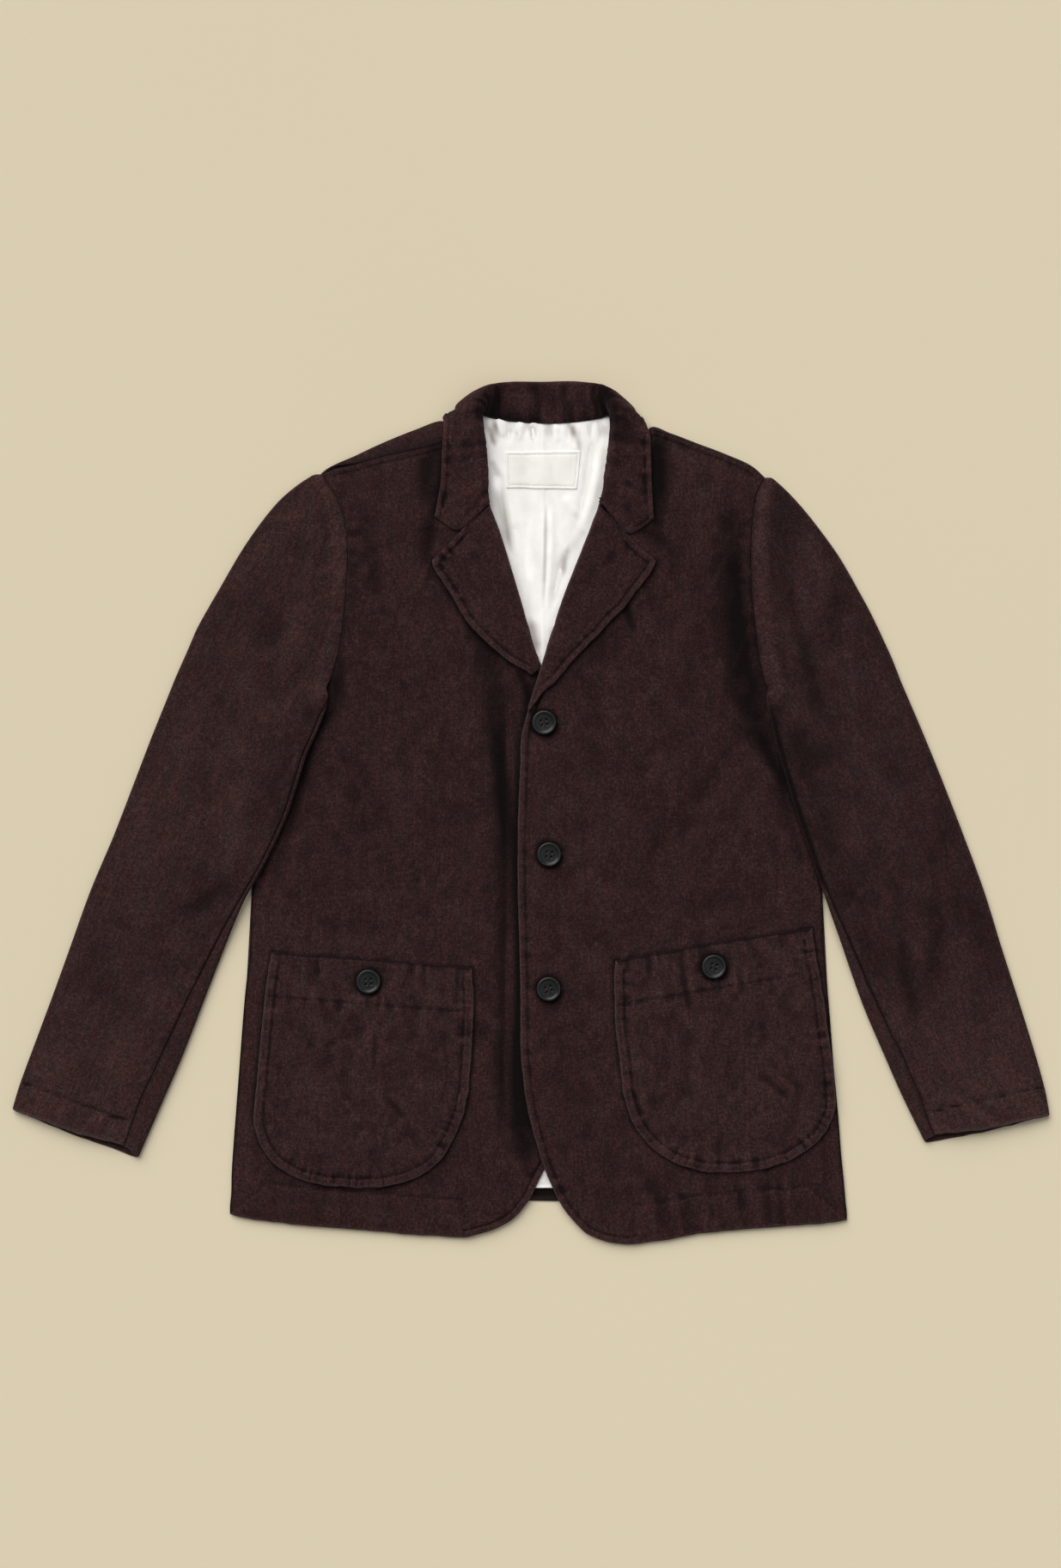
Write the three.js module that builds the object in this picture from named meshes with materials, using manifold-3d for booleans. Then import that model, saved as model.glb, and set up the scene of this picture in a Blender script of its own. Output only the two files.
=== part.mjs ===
// A three-button work jacket with notched lapels and round patch pockets, laid flat on its back.
//
// Frame: millimetres, +Z up, the surface it lies on is z = 0. +Y runs from hem to neck, +X to the wearer's left.
// The origin is the centre of the outline, on the surface.
//
// Every cloth piece is a wall: a grid of points on its outer face, made from a table of rows, and the same
// grid moved in along the normals by the cloth's thickness. The wearer's right is low x.
import * as THREE from "three";
import Module from "manifold-3d";
import { mergeVertices } from "three/addons/utils/BufferGeometryUtils.js";

// ---- driving sizes -------------------------------------------------------------------------------------
const CLOTH = 1.5; // body cloth
const LINING = 1.0; // cotton lining and label
const DOUBLE = 2.2; // two plies sewn together: collar and lapels
const SEAM = 0.5; // plan gap at a seam
const STACK = 0.5; // gap under a piece that lies on another
const SLEEVE_R = 2.8; // outer radius at a sleeve's folded edge
const SLEEVE_CROWN = 1.1; // how much a sleeve's middle stands above its edges
const BACK_SEAM = 15; // a sleeve's second seam, this far in on the underside
const STEP_DOWN = 22; // length over which a sleeve comes down off the body's side
const NECK_LIFT = 2.7; // the back rides this high over the collar's fall
const BUTTON = { radius: 11.2, rim: 3.6, well: 2.3, hole: 1.0, spread: 2.1 };

// ---- tables ---------------------------------------------------------------------------------------------
const rows = (names, ...data) =>
  data.map((r) => Object.fromEntries(names.split(" ").map((n, i) => [n, r[i]])));

// Fronts. a: neck, roll line and front edge. b: shoulder tip, armhole, side. Heights of the outer face at a,
// in the middle and at b. f: level strip at a, w: length of the rise from it.
const FRONT_COLS = "ax ay bx by bow zA fA wA zM wB zB";
const FRONT_RIGHT = rows(FRONT_COLS,
  [-54.5, 340.5, -189.5, 307, 0, 6.6, 0, 20, 6.8, 20, 5.6],
  [-50, 324, -177, 288, 0, 7.2, 0, 20, 7.8, 20, 6.6],
  [-43, 301.5, -169.5, 268, 0, 7.6, 0, 20, 8.1, 20, 7],
  [-36.5, 276.5, -166, 240.5, 0, 7.6, 0, 20, 8.1, 20, 7],
  [-22, 235, -167, 208, 0, 7.6, 0, 20, 8.1, 20, 7],
  [-10, 195.5, -171, 165, 0, 7.6, 0, 20, 8.1, 20, 6.8],
  [1, 158, -175.5, 141.5, 0, 7, 0, 25, 8.1, 25, 6.4],
  [9.5, 134, -181, 122, 0, 6.2, 0, 30, 8.1, 30, 5.6],
  [23.5, 109.5, -190.5, 102.5, 0, 5.4, 20, 45, 8.1, 40, 3.8],
  [36, 91, -213, 84.5, 0, 5.4, 38, 45, 8.1, 60, 3.4],
  [39, 73.5, -242, 73.5, 0, 5.4, 45, 45, 8.1, 70, 3.3],
  [39, 36.5, -245.5, 36.5, 0, 5.4, 45, 45, 8.1, 65, 3.3],
  [39, -2.5, -249, -2.5, 0, 5.4, 45, 45, 8.1, 60, 3.3],
  [39, -41.5, -251, -41.5, 0, 5.4, 45, 45, 8.1, 45, 3.3],
  [39, -80.5, -253.5, -80.5, 0, 5.4, 45, 45, 8.1, 35, 3.3],
  [39, -123.5, -255, -123.5, 0, 5.4, 45, 45, 8.1, 30, 3.3],
  [39, -174.5, -259.5, -166.5, 0, 5.4, 45, 45, 8.1, 30, 3.3],
  [38, -229, -263.5, -217, 0, 5.4, 45, 45, 8.1, 30, 3.3],
  [33, -275.5, -267, -264, 0, 5.4, 38, 45, 8.1, 30, 3.3],
  [21, -308.5, -270, -303, 0, 5.2, 22, 45, 7.8, 30, 3.3],
  [9.5, -329, -271.5, -326.5, 0, 5, 6, 40, 7, 30, 3.3],
  [-2.5, -353, -272, -346, -1.5, 4.6, 0, 30, 5.6, 30, 3.3],
  [-22, -372.5, -273, -357, -4, 4, 0, 20, 4.4, 20, 3.3],
  [-57, -385, -273, -364, -4, 3.6, 0, 10, 3.7, 10, 3.3],
);
const FRONT_LEFT = rows(FRONT_COLS,
  [82.5, 340.5, 211.5, 304, 0, 6.6, 0, 20, 6.8, 20, 5.6],
  [77, 324, 203.5, 288, 0, 7.2, 0, 20, 7.8, 20, 6.6],
  [68.5, 301.5, 200.5, 268, 0, 7.6, 0, 20, 8.1, 20, 7],
  [61, 278, 199, 240.5, 0, 7.6, 0, 20, 8.1, 20, 7],
  [44.5, 235, 199.5, 208, 0, 7.6, 0, 20, 8.1, 20, 7],
  [29, 195.5, 203.5, 165, 0, 7.8, 0, 20, 8.1, 20, 6.8],
  [17, 158, 206.5, 141.5, 0, 8.4, 0, 25, 8.1, 25, 6.4],
  [8.5, 130, 210.5, 122, 0, 8.6, 0, 30, 8.1, 30, 5.6],
  [2.5, 108, 220, 102.5, 0, 8.6, 0, 40, 8.1, 40, 3.8],
  [-4, 88, 237, 84.5, 0, 8.6, 0, 50, 8.1, 60, 3.4],
  [-8, 72, 254.5, 73.5, 0, 8.6, 0, 60, 8.1, 70, 3.3],
  [-10, 36.5, 257.5, 36.5, 0, 8.6, 0, 60, 8.1, 65, 3.3],
  [-11.5, -2.5, 260.5, -2.5, 0, 8.6, 0, 60, 8.1, 60, 3.3],
  [-12, -41.5, 263, -41.5, 0, 8.6, 0, 60, 8.1, 45, 3.3],
  [-12, -80.5, 264.5, -80.5, 0, 8.6, 0, 60, 8.1, 35, 3.3],
  [-10, -131.5, 266, -127.5, 0, 8.6, 0, 60, 8.1, 30, 3.3],
  [-9.5, -182, 270.5, -178, 0, 8.6, 0, 60, 8.1, 30, 3.3],
  [-8, -233, 274.5, -229, 0, 8.6, 0, 60, 8.1, 30, 3.3],
  [-1.5, -275.5, 278.5, -272, 0, 8.4, 0, 60, 8.1, 30, 3.3],
  [7, -307, 281.5, -311, 0, 8, 0, 50, 7.8, 30, 3.3],
  [18, -336, 284, -336.5, 0, 6.8, 0, 40, 7, 30, 3.3],
  [30.5, -360, 285.5, -353.5, -1.5, 5.4, 0, 30, 5.6, 30, 3.3],
  [51.5, -382, 286.5, -363, 0, 4.2, 0, 20, 4.4, 20, 3.3],
  [87.5, -391.7, 286.5, -369.5, 2.5, 3.6, 0, 10, 3.7, 10, 3.3],
);
// Shoulder lines: the right one is a seam on top, in front of the fold; the left one is on the fold.
const SHOULDER_RIGHT = rows("x y",
  [-189.5, 307], [-182, 310.5], [-157, 317], [-131, 324], [-106, 329.5], [-81, 335.5], [-54.5, 340.5]);
const SHOULDER_LEFT = rows("x y",
  [82.5, 340.5], [101, 343.5], [108.5, 348], [127, 343.5], [152, 334], [177, 324.5], [203, 312], [211.5, 304]);
// The back's top edge: shoulder folds and neck; strip: how far the back turns over the fold to the seam on top.
const BACK_TOP = rows("x y strip",
  [-191, 307, 0], [-185.5, 312.5, 2], [-157, 325, 8], [-138, 334, 11], [-105, 347.5, 18], [-81, 355.5, 20],
  [-75, 346, 10], [-64, 343, 2], [-45, 342, 0], [-14, 345.5, 0], [14, 347, 0], [42, 345.5, 0], [73, 341, 0],
  [93, 342, 0], [104.5, 346.5, 0], [108.5, 350, 0], [127, 344.5, 0], [152, 335, 0], [177, 325.5, 0],
  [203, 313, 0], [212, 304.5, 0]);
// Back: left and right edges (armhole on the back, side seam, hem); cap: share of the top edge's crown.
const BACK = rows("lx ly rx ry bow cap",
  [-191, 307, 212, 304.5, 0, 1],
  [-192.5, 278, 213.5, 278, 0, 0.75],
  [-194, 247, 217, 247, 0, 0.45],
  [-196.5, 208, 219, 208, 0, 0.2],
  [-203, 165, 224.5, 165, 0, 0.05],
  [-211.5, 126, 232.5, 126, 0, 0],
  [-224.5, 95, 242, 95, 0, 0],
  [-242, 73.5, 254.5, 73.5, 0, 0],
  [-252, -49.5, 263, -49.5, 0, 0],
  [-259.5, -174.5, 270, -174.5, 0, 0],
  [-266, -248.5, 275, -248.5, 0, 0],
  [-270, -307, 280.5, -307, 0, 0],
  [-273, -363, 286, -368.5, 13.5, 0],
);
// Sleeves. o: outer fold, i: armhole seam, then inner fold; seam: the upper seam's distance from the inner
// fold (-1: on the fold's side); back: where the under piece starts, from i, on the rows along the armhole
// (closed rows have -1).
const SLEEVE_COLS = "ox oy ix iy seam back";
const SLEEVE_RIGHT = rows(SLEEVE_COLS,
  [-196.5, 307, -189.5, 307, 0, 0.3],
  [-211.5, 297.5, -177, 288, 0, 16],
  [-228, 283.5, -169.5, 268, 0, 24],
  [-246.5, 261, -166, 240.5, 0, 29],
  [-263.5, 236, -167, 208, 0, 31],
  [-281.5, 205, -171, 165, 0, 33],
  [-292.5, 186, -175.5, 141.5, 0, 33],
  [-303.5, 166, -181, 122, 0, 31],
  [-308, 155.5, -184.6, 113.5, 0, 13],
  [-312.5, 145, -183.5, 105, -1, -1],
  [-322, 123.5, -189, 84.5, 0, -1],
  [-332.5, 97.5, -195.5, 68.5, 0, -1],
  [-343, 71.5, -203, 52, 0, -1],
  [-361, 24.5, -220, -1, 0, -1],
  [-380, -24.5, -242, -48, 1.5, -1],
  [-398.5, -68, -259, -78.5, 4, -1],
  [-415.5, -115, -278.5, -124.5, 9.5, -1],
  [-433.5, -165, -298, -174.5, 15, -1],
  [-451, -212, -316.5, -222, 18.5, -1],
  [-463.5, -246, -333, -260, 19.5, -1],
  [-470.5, -269.5, -355.5, -311.5, 15.5, -1],
);
const SLEEVE_LEFT = rows(SLEEVE_COLS,
  [218.5, 304, 211.5, 304, 0, 0.3],
  [231, 293, 203.5, 288, 0, 10],
  [245.5, 277.5, 200.5, 268, 0, 15],
  [263, 255.5, 199, 240.5, 0, 19],
  [280, 231.5, 199.5, 208, 0, 20.5],
  [298, 200, 203.5, 165, 0, 23],
  [306.5, 184.5, 206.5, 141.5, 0, 25],
  [316.5, 164, 210.5, 122, 0, 25],
  [322, 152, 213.9, 113, 0, 12],
  [327, 141, 213, 104, -1, -1],
  [335.5, 119.5, 217, 84.5, 0, -1],
  [346, 95, 221.5, 65, 0, -1],
  [357, 69, 227, 45.5, 0, -1],
  [376, 22, 240, 1, 0, -1],
  [394.5, -26, 254.5, -41.5, 2.5, -1],
  [411, -71, 266, -76, 4, -1],
  [425.5, -118, 281.5, -119.5, 8, -1],
  [442, -169.5, 301, -174.5, 12.5, -1],
  [457.5, -219.5, 321.5, -222.5, 15.5, -1],
  [466.5, -252.5, 336, -255.5, 15.5, -1],
  [470.5, -275, 357, -298.5, 9.5, -1],
);
// Lapels, from the gorge down to the break. r: roll line, o: outer edge; lift: extra height at the roll.
const LAPEL_COLS = "rx ry ox oy bow lift";
const LAPEL_RIGHT = rows(LAPEL_COLS,
  [-37, 277.5, -89.5, 228.6, 1.2, 3.2],
  [-30, 260, -87.5, 222, 1, 3.2],
  [-23, 239, -76, 203, 0, 3.1],
  [-16, 215.5, -66, 186, 0, 2.9],
  [-10, 195.5, -56, 171, 0, 2.6],
  [-5, 177, -46, 160, 0, 2.2],
  [0, 160, -34, 149, 0, 1.8],
  [4, 144.5, -20, 137.5, 0, 1.2],
  [5.5, 136.5, -9, 131.5, 0, 0.8],
);
const LAPEL_LEFT = rows(LAPEL_COLS,
  [61.5, 277.5, 113, 228, -2.5, 3.2],
  [55.5, 261, 110.5, 220.5, -1, 3.2],
  [48, 243, 98, 204, 0, 3.1],
  [40.5, 223, 85, 187, 0, 2.9],
  [32, 202, 70, 171.5, 0, 2.6],
  [25.5, 184, 56, 156, 0, 2.2],
  [19.5, 164, 42, 141.5, 0, 1.8],
  [12, 141, 25, 122.5, 0, 1.2],
  [4.5, 118, 11, 108, 0, 0.8],
  [-3, 94.5, -1.5, 92, 0, 0.3],
);
// Collar, one row per station from the right gorge round the neck to the left one. Six points of the outer
// face each: e fall's edge, h, m fall, r roll, s stand, f neck seam.
const COLLAR_COLS = "ex ey ez hx hy hz mx my mz rx ry rz sx sy sz fx fy fz";
const COLLAR_RIGHT = rows(COLLAR_COLS,
  [-87.5, 268, 11.4, -63.2, 256.3, 11.6, -48.4, 269.5, 12.6, -39, 278, 13.6, -37, 279.5, 11.8, -41, 280.5, 9.8],
  [-85, 282.8, 11.2, -67.9, 278, 11.8, -51.5, 283.5, 12.9, -41.7, 292, 15.6, -38.6, 292, 13, -43.5, 293, 9.8],
  [-81.9, 301.5, 11, -67.9, 303, 12, -53.8, 307.5, 14.2, -42.9, 313, 18.6, -39, 313, 15, -46, 313, 9.7],
  [-80.7, 328.8, 10.8, -68.6, 330.3, 12.2, -55.4, 333.5, 15.6, -44.8, 335.8, 20, -41, 335, 16, -48.4, 334.2, 9.4],
  [-79.2, 351.5, 9.8, -70.2, 354.5, 12.4, -58.5, 357.6, 16.5, -47.6, 359.2, 21.4, -43.7, 357.6, 17, -48.4, 349, 9],
  [-78.6, 358.6, 4.6, -74.2, 363.1, 9, -62.4, 365.4, 16, -46.8, 368, 22, -43, 366, 18, -47.6, 350.5, 8.6],
  [-58, 345.5, 0, -64.7, 362.3, 0.5, -67.9, 369.5, 7.5, -44.5, 377.1, 21.5, -40.5, 373.2, 18, -45.2, 352, 8.2],
  [-38, 340, 0, -43.7, 373, 0.3, -48.4, 382.2, 7, -35.9, 387.3, 19.5, -33.5, 382.2, 16.5, -37.4, 353.5, 7.4],
  [-14, 337, 0, -15.6, 377, 0.1, -17.2, 390.9, 6, -16.4, 389.8, 13.6, -15.6, 383, 12.4, -15.6, 353, 7],
);
const COLLAR_MID = rows(COLLAR_COLS,
  [14, 336, 0, 14, 377, 0, 14, 391.7, 5, 14, 389.4, 12, 14, 382.6, 11.4, 14, 352.5, 7]);
const COLLAR_LEFT_FRONT = rows(COLLAR_COLS,
  [111.5, 265.6, 11.4, 86.6, 253.5, 11.6, 74.9, 267, 12.6, 64.7, 278.5, 13.6, 61.5, 280, 11.8, 65.5, 281.5, 9.8],
  [110.8, 281.2, 11.2, 93.6, 278, 11.8, 78.8, 283.5, 12.9, 67.9, 292, 15.6, 64.8, 292, 13, 69.4, 293, 9.8],
  [109.6, 301.5, 11, 95.9, 303, 12, 81.9, 307.5, 14.2, 70.6, 313, 18.6, 67.2, 313, 15, 73.3, 313, 9.7],
  [108.8, 328.8, 10.8, 96.7, 330.3, 12.2, 83.5, 333.5, 15.6, 73.7, 335.8, 20, 70.4, 335, 16, 76.4, 334.2, 9.4],
);
const mirrorRow = (r, about) =>
  Object.fromEntries(Object.entries(r).map(([k, v]) => [k, k.endsWith("x") ? 2 * about - v : v]));
const COLLAR = [
  ...COLLAR_RIGHT,
  ...COLLAR_MID,
  ...COLLAR_RIGHT.slice(4).reverse().map((r) => mirrorRow(r, 14)),
  ...COLLAR_LEFT_FRONT.slice().reverse(),
];
// Patch pockets: left and right edges of rows from the mouth down.
const POCKET_COLS = "lx ly rx ry";
const POCKET_RIGHT = rows(POCKET_COLS,
  [-234.5, -126.5, -53.5, -141], [-238, -144, -52, -158.5], [-241.5, -173.5, -52, -184.5],
  [-245.5, -217, -54.5, -227.5], [-249.5, -254, -58.5, -263], [-251, -277, -66.5, -288],
  [-245.5, -299, -79, -311], [-230, -320, -95, -326], [-204.5, -333.5, -115.5, -335], [-170, -339, -139, -339.5]);
const POCKET_LEFT = rows(POCKET_COLS,
  [76.5, -134, 254.5, -104.5], [75.5, -151, 257.5, -123], [76, -171, 261, -143], [78, -208, 266.5, -178],
  [81, -231.5, 271, -209.5], [84.5, -256.5, 275, -242], [93.5, -283, 275.5, -269.5], [113, -306, 266, -290],
  [138, -320, 242.5, -310], [157.5, -325, 212, -322]);
// Back lining: edges and the height of its underside.
const LINING_ROWS = rows("lx ly rx ry z",
  [-41, 349, 68, 349, 4.8], [-49, 333, 76, 333, 4.5], [-70, 313, 98, 313, 3.6], [-100, 278, 132, 278, 2.1],
  [-140, 239, 172, 239, 1.8], [-152, 192, 180, 192, 1.8], [-155, 122, 182, 122, 1.8], [-200, 67.5, 214, 67.5, 1.8],
  [-226, -41.5, 238, -41.5, 1.8], [-236, -135.5, 246, -135.5, 1.8], [-244, -260, 255, -260, 1.8],
  [-246, -340.5, 259, -340.5, 1.8]);
const LABEL = rows("lx ly rx ry", [-23.5, 327, 45, 328], [-23, 316, 44, 316.5], [-22.5, 305, 43, 305.5], [-22, 294.5, 41.5, 293.5]);
// Buttons: centre, and the piece that each lies on.
const BUTTONS = rows("name x y on",
  ["button_front_1", 11.9, 81.8, "front_left"],
  ["button_front_2", 16.4, -37.6, "front_left"],
  ["button_front_3", 16, -159.4, "front_left"],
  ["button_pocket_right", -147, -152.6, "pocket_right"],
  ["button_pocket_left", 165.4, -139.1, "pocket_left"],
);

// ---- helpers -----------------------------------------------------------------------------------------------
const V = (x, y, z) => new THREE.Vector3(x, y, z);
const lerp = (a, b, t) => a + (b - a) * t;
const smooth = (t) => { const c = Math.min(1, Math.max(0, t)); return c * c * (3 - 2 * c); };
const hypot = Math.hypot;
const atX = (table, x, key = "y") => {
  const s = table[0].x < table[table.length - 1].x ? table : table.slice().reverse();
  if (x <= s[0].x) return s[0][key];
  for (let i = 1; i < s.length; i++)
    if (x <= s[i].x) return lerp(s[i - 1][key], s[i][key], (x - s[i - 1].x) / (s[i].x - s[i - 1].x));
  return s[s.length - 1][key];
};

// A closed wall from a grid of points on one face; side +1 or -1 says which way the thickness goes.
function wall(grid, thickness, side) {
  const n = grid.length, m = grid[0].length;
  const normal = (i, j) => {
    const du = grid[Math.min(n - 1, i + 1)][j].clone().sub(grid[Math.max(0, i - 1)][j]);
    const dv = grid[i][Math.min(m - 1, j + 1)].clone().sub(grid[i][Math.max(0, j - 1)]);
    const c = du.cross(dv);
    return c.lengthSq() < 1e-12 ? V(0, 0, 1) : c.normalize();
  };
  const p = [];
  for (let i = 0; i < n; i++) for (let j = 0; j < m; j++) p.push(grid[i][j]);
  for (let i = 0; i < n; i++)
    for (let j = 0; j < m; j++) p.push(grid[i][j].clone().addScaledVector(normal(i, j), side * thickness));
  const at = (k, i, j) => k * n * m + i * m + j;
  const faces = [];
  const quad = (a, b, c, d) => faces.push([a, b, c], [a, c, d]);
  for (let i = 0; i < n - 1; i++)
    for (let j = 0; j < m - 1; j++) {
      quad(at(0, i, j), at(0, i + 1, j), at(0, i + 1, j + 1), at(0, i, j + 1));
      quad(at(1, i, j), at(1, i, j + 1), at(1, i + 1, j + 1), at(1, i + 1, j));
    }
  for (let i = 0; i < n - 1; i++) {
    quad(at(0, i, 0), at(1, i, 0), at(1, i + 1, 0), at(0, i + 1, 0));
    quad(at(0, i, m - 1), at(0, i + 1, m - 1), at(1, i + 1, m - 1), at(1, i, m - 1));
  }
  for (let j = 0; j < m - 1; j++) {
    quad(at(0, 0, j), at(0, 0, j + 1), at(1, 0, j + 1), at(1, 0, j));
    quad(at(0, n - 1, j), at(1, n - 1, j), at(1, n - 1, j + 1), at(0, n - 1, j + 1));
  }
  let volume = 0;
  for (const [a, b, c] of faces) volume += p[a].dot(p[b].clone().cross(p[c])) / 6;
  const g = new THREE.BufferGeometry();
  const v = new Float32Array(p.length * 3);
  p.forEach((q, i) => v.set([q.x, q.y, q.z], i * 3));
  g.setAttribute("position", new THREE.BufferAttribute(v, 3));
  g.setIndex((volume < 0 ? faces.map(([a, b, c]) => [a, c, b]) : faces).flat());
  g.computeVertexNormals();
  return g;
}

// Height of a grid's face at x, y, or null off it.
function heightOn(grid, x, y) {
  for (let i = 0; i < grid.length - 1; i++)
    for (let j = 0; j < grid[0].length - 1; j++) {
      const a = grid[i][j], b = grid[i + 1][j], c = grid[i + 1][j + 1], d = grid[i][j + 1];
      for (const [p, q, r] of [[a, b, c], [a, c, d]]) {
        const w = (q.x - p.x) * (r.y - p.y) - (q.y - p.y) * (r.x - p.x);
        if (Math.abs(w) < 1e-9) continue;
        const s = ((x - p.x) * (r.y - p.y) - (y - p.y) * (r.x - p.x)) / w;
        const t = ((q.x - p.x) * (y - p.y) - (q.y - p.y) * (x - p.x)) / w;
        if (s >= -1e-6 && t >= -1e-6 && s + t <= 1 + 1e-6) return p.z + s * (q.z - p.z) + t * (r.z - p.z);
      }
    }
  return null;
}
// The nearest point of a grid's outline to x, y, with its height there.
function nearestOnRim(grid, x, y) {
  const n = grid.length, m = grid[0].length, rim = [];
  for (let j = 0; j < m; j++) rim.push(grid[0][j]);
  for (let i = 1; i < n; i++) rim.push(grid[i][m - 1]);
  for (let j = m - 2; j >= 0; j--) rim.push(grid[n - 1][j]);
  for (let i = n - 2; i > 0; i--) rim.push(grid[i][0]);
  let best = { d: 1e9, z: 0 };
  rim.forEach((p, k) => {
    const q = rim[(k + 1) % rim.length], dx = q.x - p.x, dy = q.y - p.y;
    const t = Math.min(1, Math.max(0, ((x - p.x) * dx + (y - p.y) * dy) / (dx * dx + dy * dy || 1)));
    const d = hypot(x - p.x - t * dx, y - p.y - t * dy);
    if (d < best.d) best = { d, z: lerp(p.z, q.z, t) };
  });
  return best;
}

// ---- folds of the fronts: a trough or ridge along a line, with soft ends ------------------------------------
const FOLDS = rows("x0 y0 x1 y1 width depth",
  [-24, 70, -24, -250, 20, -1.0], // beside the overlapped edge
  [118, 330, 126, 262, 12, -1.2], // beside the left collar
  [186, 250, 196, 140, 18, -1.4], // along the left armhole
  [-84, 300, -100, 240, 14, -1.0], // beside the right collar
  [200, 60, 120, -40, 24, -0.8], // from the left underarm to the waist
  [-190, 40, -120, -60, 24, -0.8], // from the right underarm to the waist
);
function foldHeight(x, y) {
  let z = 0;
  for (const f of FOLDS) {
    const dx = f.x1 - f.x0, dy = f.y1 - f.y0, L = hypot(dx, dy);
    const t = ((x - f.x0) * dx + (y - f.y0) * dy) / (L * L);
    const off = Math.abs((x - f.x0) * dy - (y - f.y0) * dx) / L;
    z += f.depth * Math.exp(-((off / f.width) ** 2)) * smooth(t * 4 + 0.5) * smooth((1 - t) * 4 + 0.5);
  }
  return z;
}

// ---- fronts --------------------------------------------------------------------------------------------------
const FRONT_COLUMNS = [0, 0.05, 0.13, 0.22, 0.32, 0.43, 0.54, 0.65, 0.76, 0.85, 0.92, 0.965, 1];
function frontGrid(table, shoulder) {
  return table.map((r, i) =>
    FRONT_COLUMNS.map((u) => {
      const x = lerp(r.ax, r.bx, u);
      const y = i === 0 ? atX(shoulder, x) - SEAM : lerp(r.ay, r.by, u) + r.bow * 4 * u * (1 - u);
      const W = hypot(r.bx - r.ax, r.by - r.ay), a = u * W, b = (1 - u) * W;
      const rise = lerp(r.zA, r.zM, smooth((a - r.fA) / r.wA));
      let z = lerp(r.zB, rise, smooth(b / r.wB));
      z += foldHeight(x, y) * smooth(b / 20) * smooth((a - r.fA) / 12);
      return V(x, y, z);
    }));
}
const frontRight = frontGrid(FRONT_RIGHT, SHOULDER_RIGHT);
const frontLeft = frontGrid(FRONT_LEFT, SHOULDER_LEFT);

// ---- back ----------------------------------------------------------------------------------------------------
const BACK_COLUMNS = [...new Set([...BACK_TOP.map((p) => (p.x - BACK_TOP[0].x) / (BACK_TOP.at(-1).x - BACK_TOP[0].x))])];
function neckLift(x, y) {
  // over the collar's fall, then down to the surface
  const side = smooth((82 - Math.abs(x - 14)) / 26);
  return NECK_LIFT * side * smooth((y - 296) / 34);
}
function backGrid() {
  const chordY = (u) => lerp(BACK[0].ly, BACK[0].ry, u);
  const flat = BACK.map((r) =>
    BACK_COLUMNS.map((u) => {
      const x = lerp(r.lx, r.rx, u);
      const y = lerp(r.ly, r.ry, u) + r.bow * 4 * u * (1 - u) +
        (atX(BACK_TOP, lerp(BACK[0].lx, BACK[0].rx, u)) - chordY(u)) * r.cap;
      return V(x, y, neckLift(x, y));
    }));
  // over the right shoulder's fold to its seam on top; elsewhere three rows a millimetre apart
  const top = flat.shift();
  const turned = [[1, 6.7, 0], [0.45, 7.0, 0], [0, 5.9, 0.5], [0, 3.2, 0], [0, 0.8, 0.6]].map(([reach, z, inset], k) =>
    BACK_COLUMNS.map((u, j) => {
      const p = top[j], strip = atX(BACK_TOP, p.x, "strip"), f = smooth(strip / 6);
      const folded = V(p.x, p.y - strip * reach - inset, z);
      if (reach === 1) folded.y = Math.min(p.y - 0.4, atX(SHOULDER_RIGHT, p.x) + 0);
      const plain = V(p.x, p.y - k * 0.8, neckLift(p.x, p.y));
      return plain.lerp(folded, f);
    }));
  turned.push(BACK_COLUMNS.map((u, j) => V(top[j].x, top[j].y - 4.5, neckLift(top[j].x, top[j].y - 4.5))));
  return [...turned, ...flat];
}
const back = backGrid();

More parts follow.
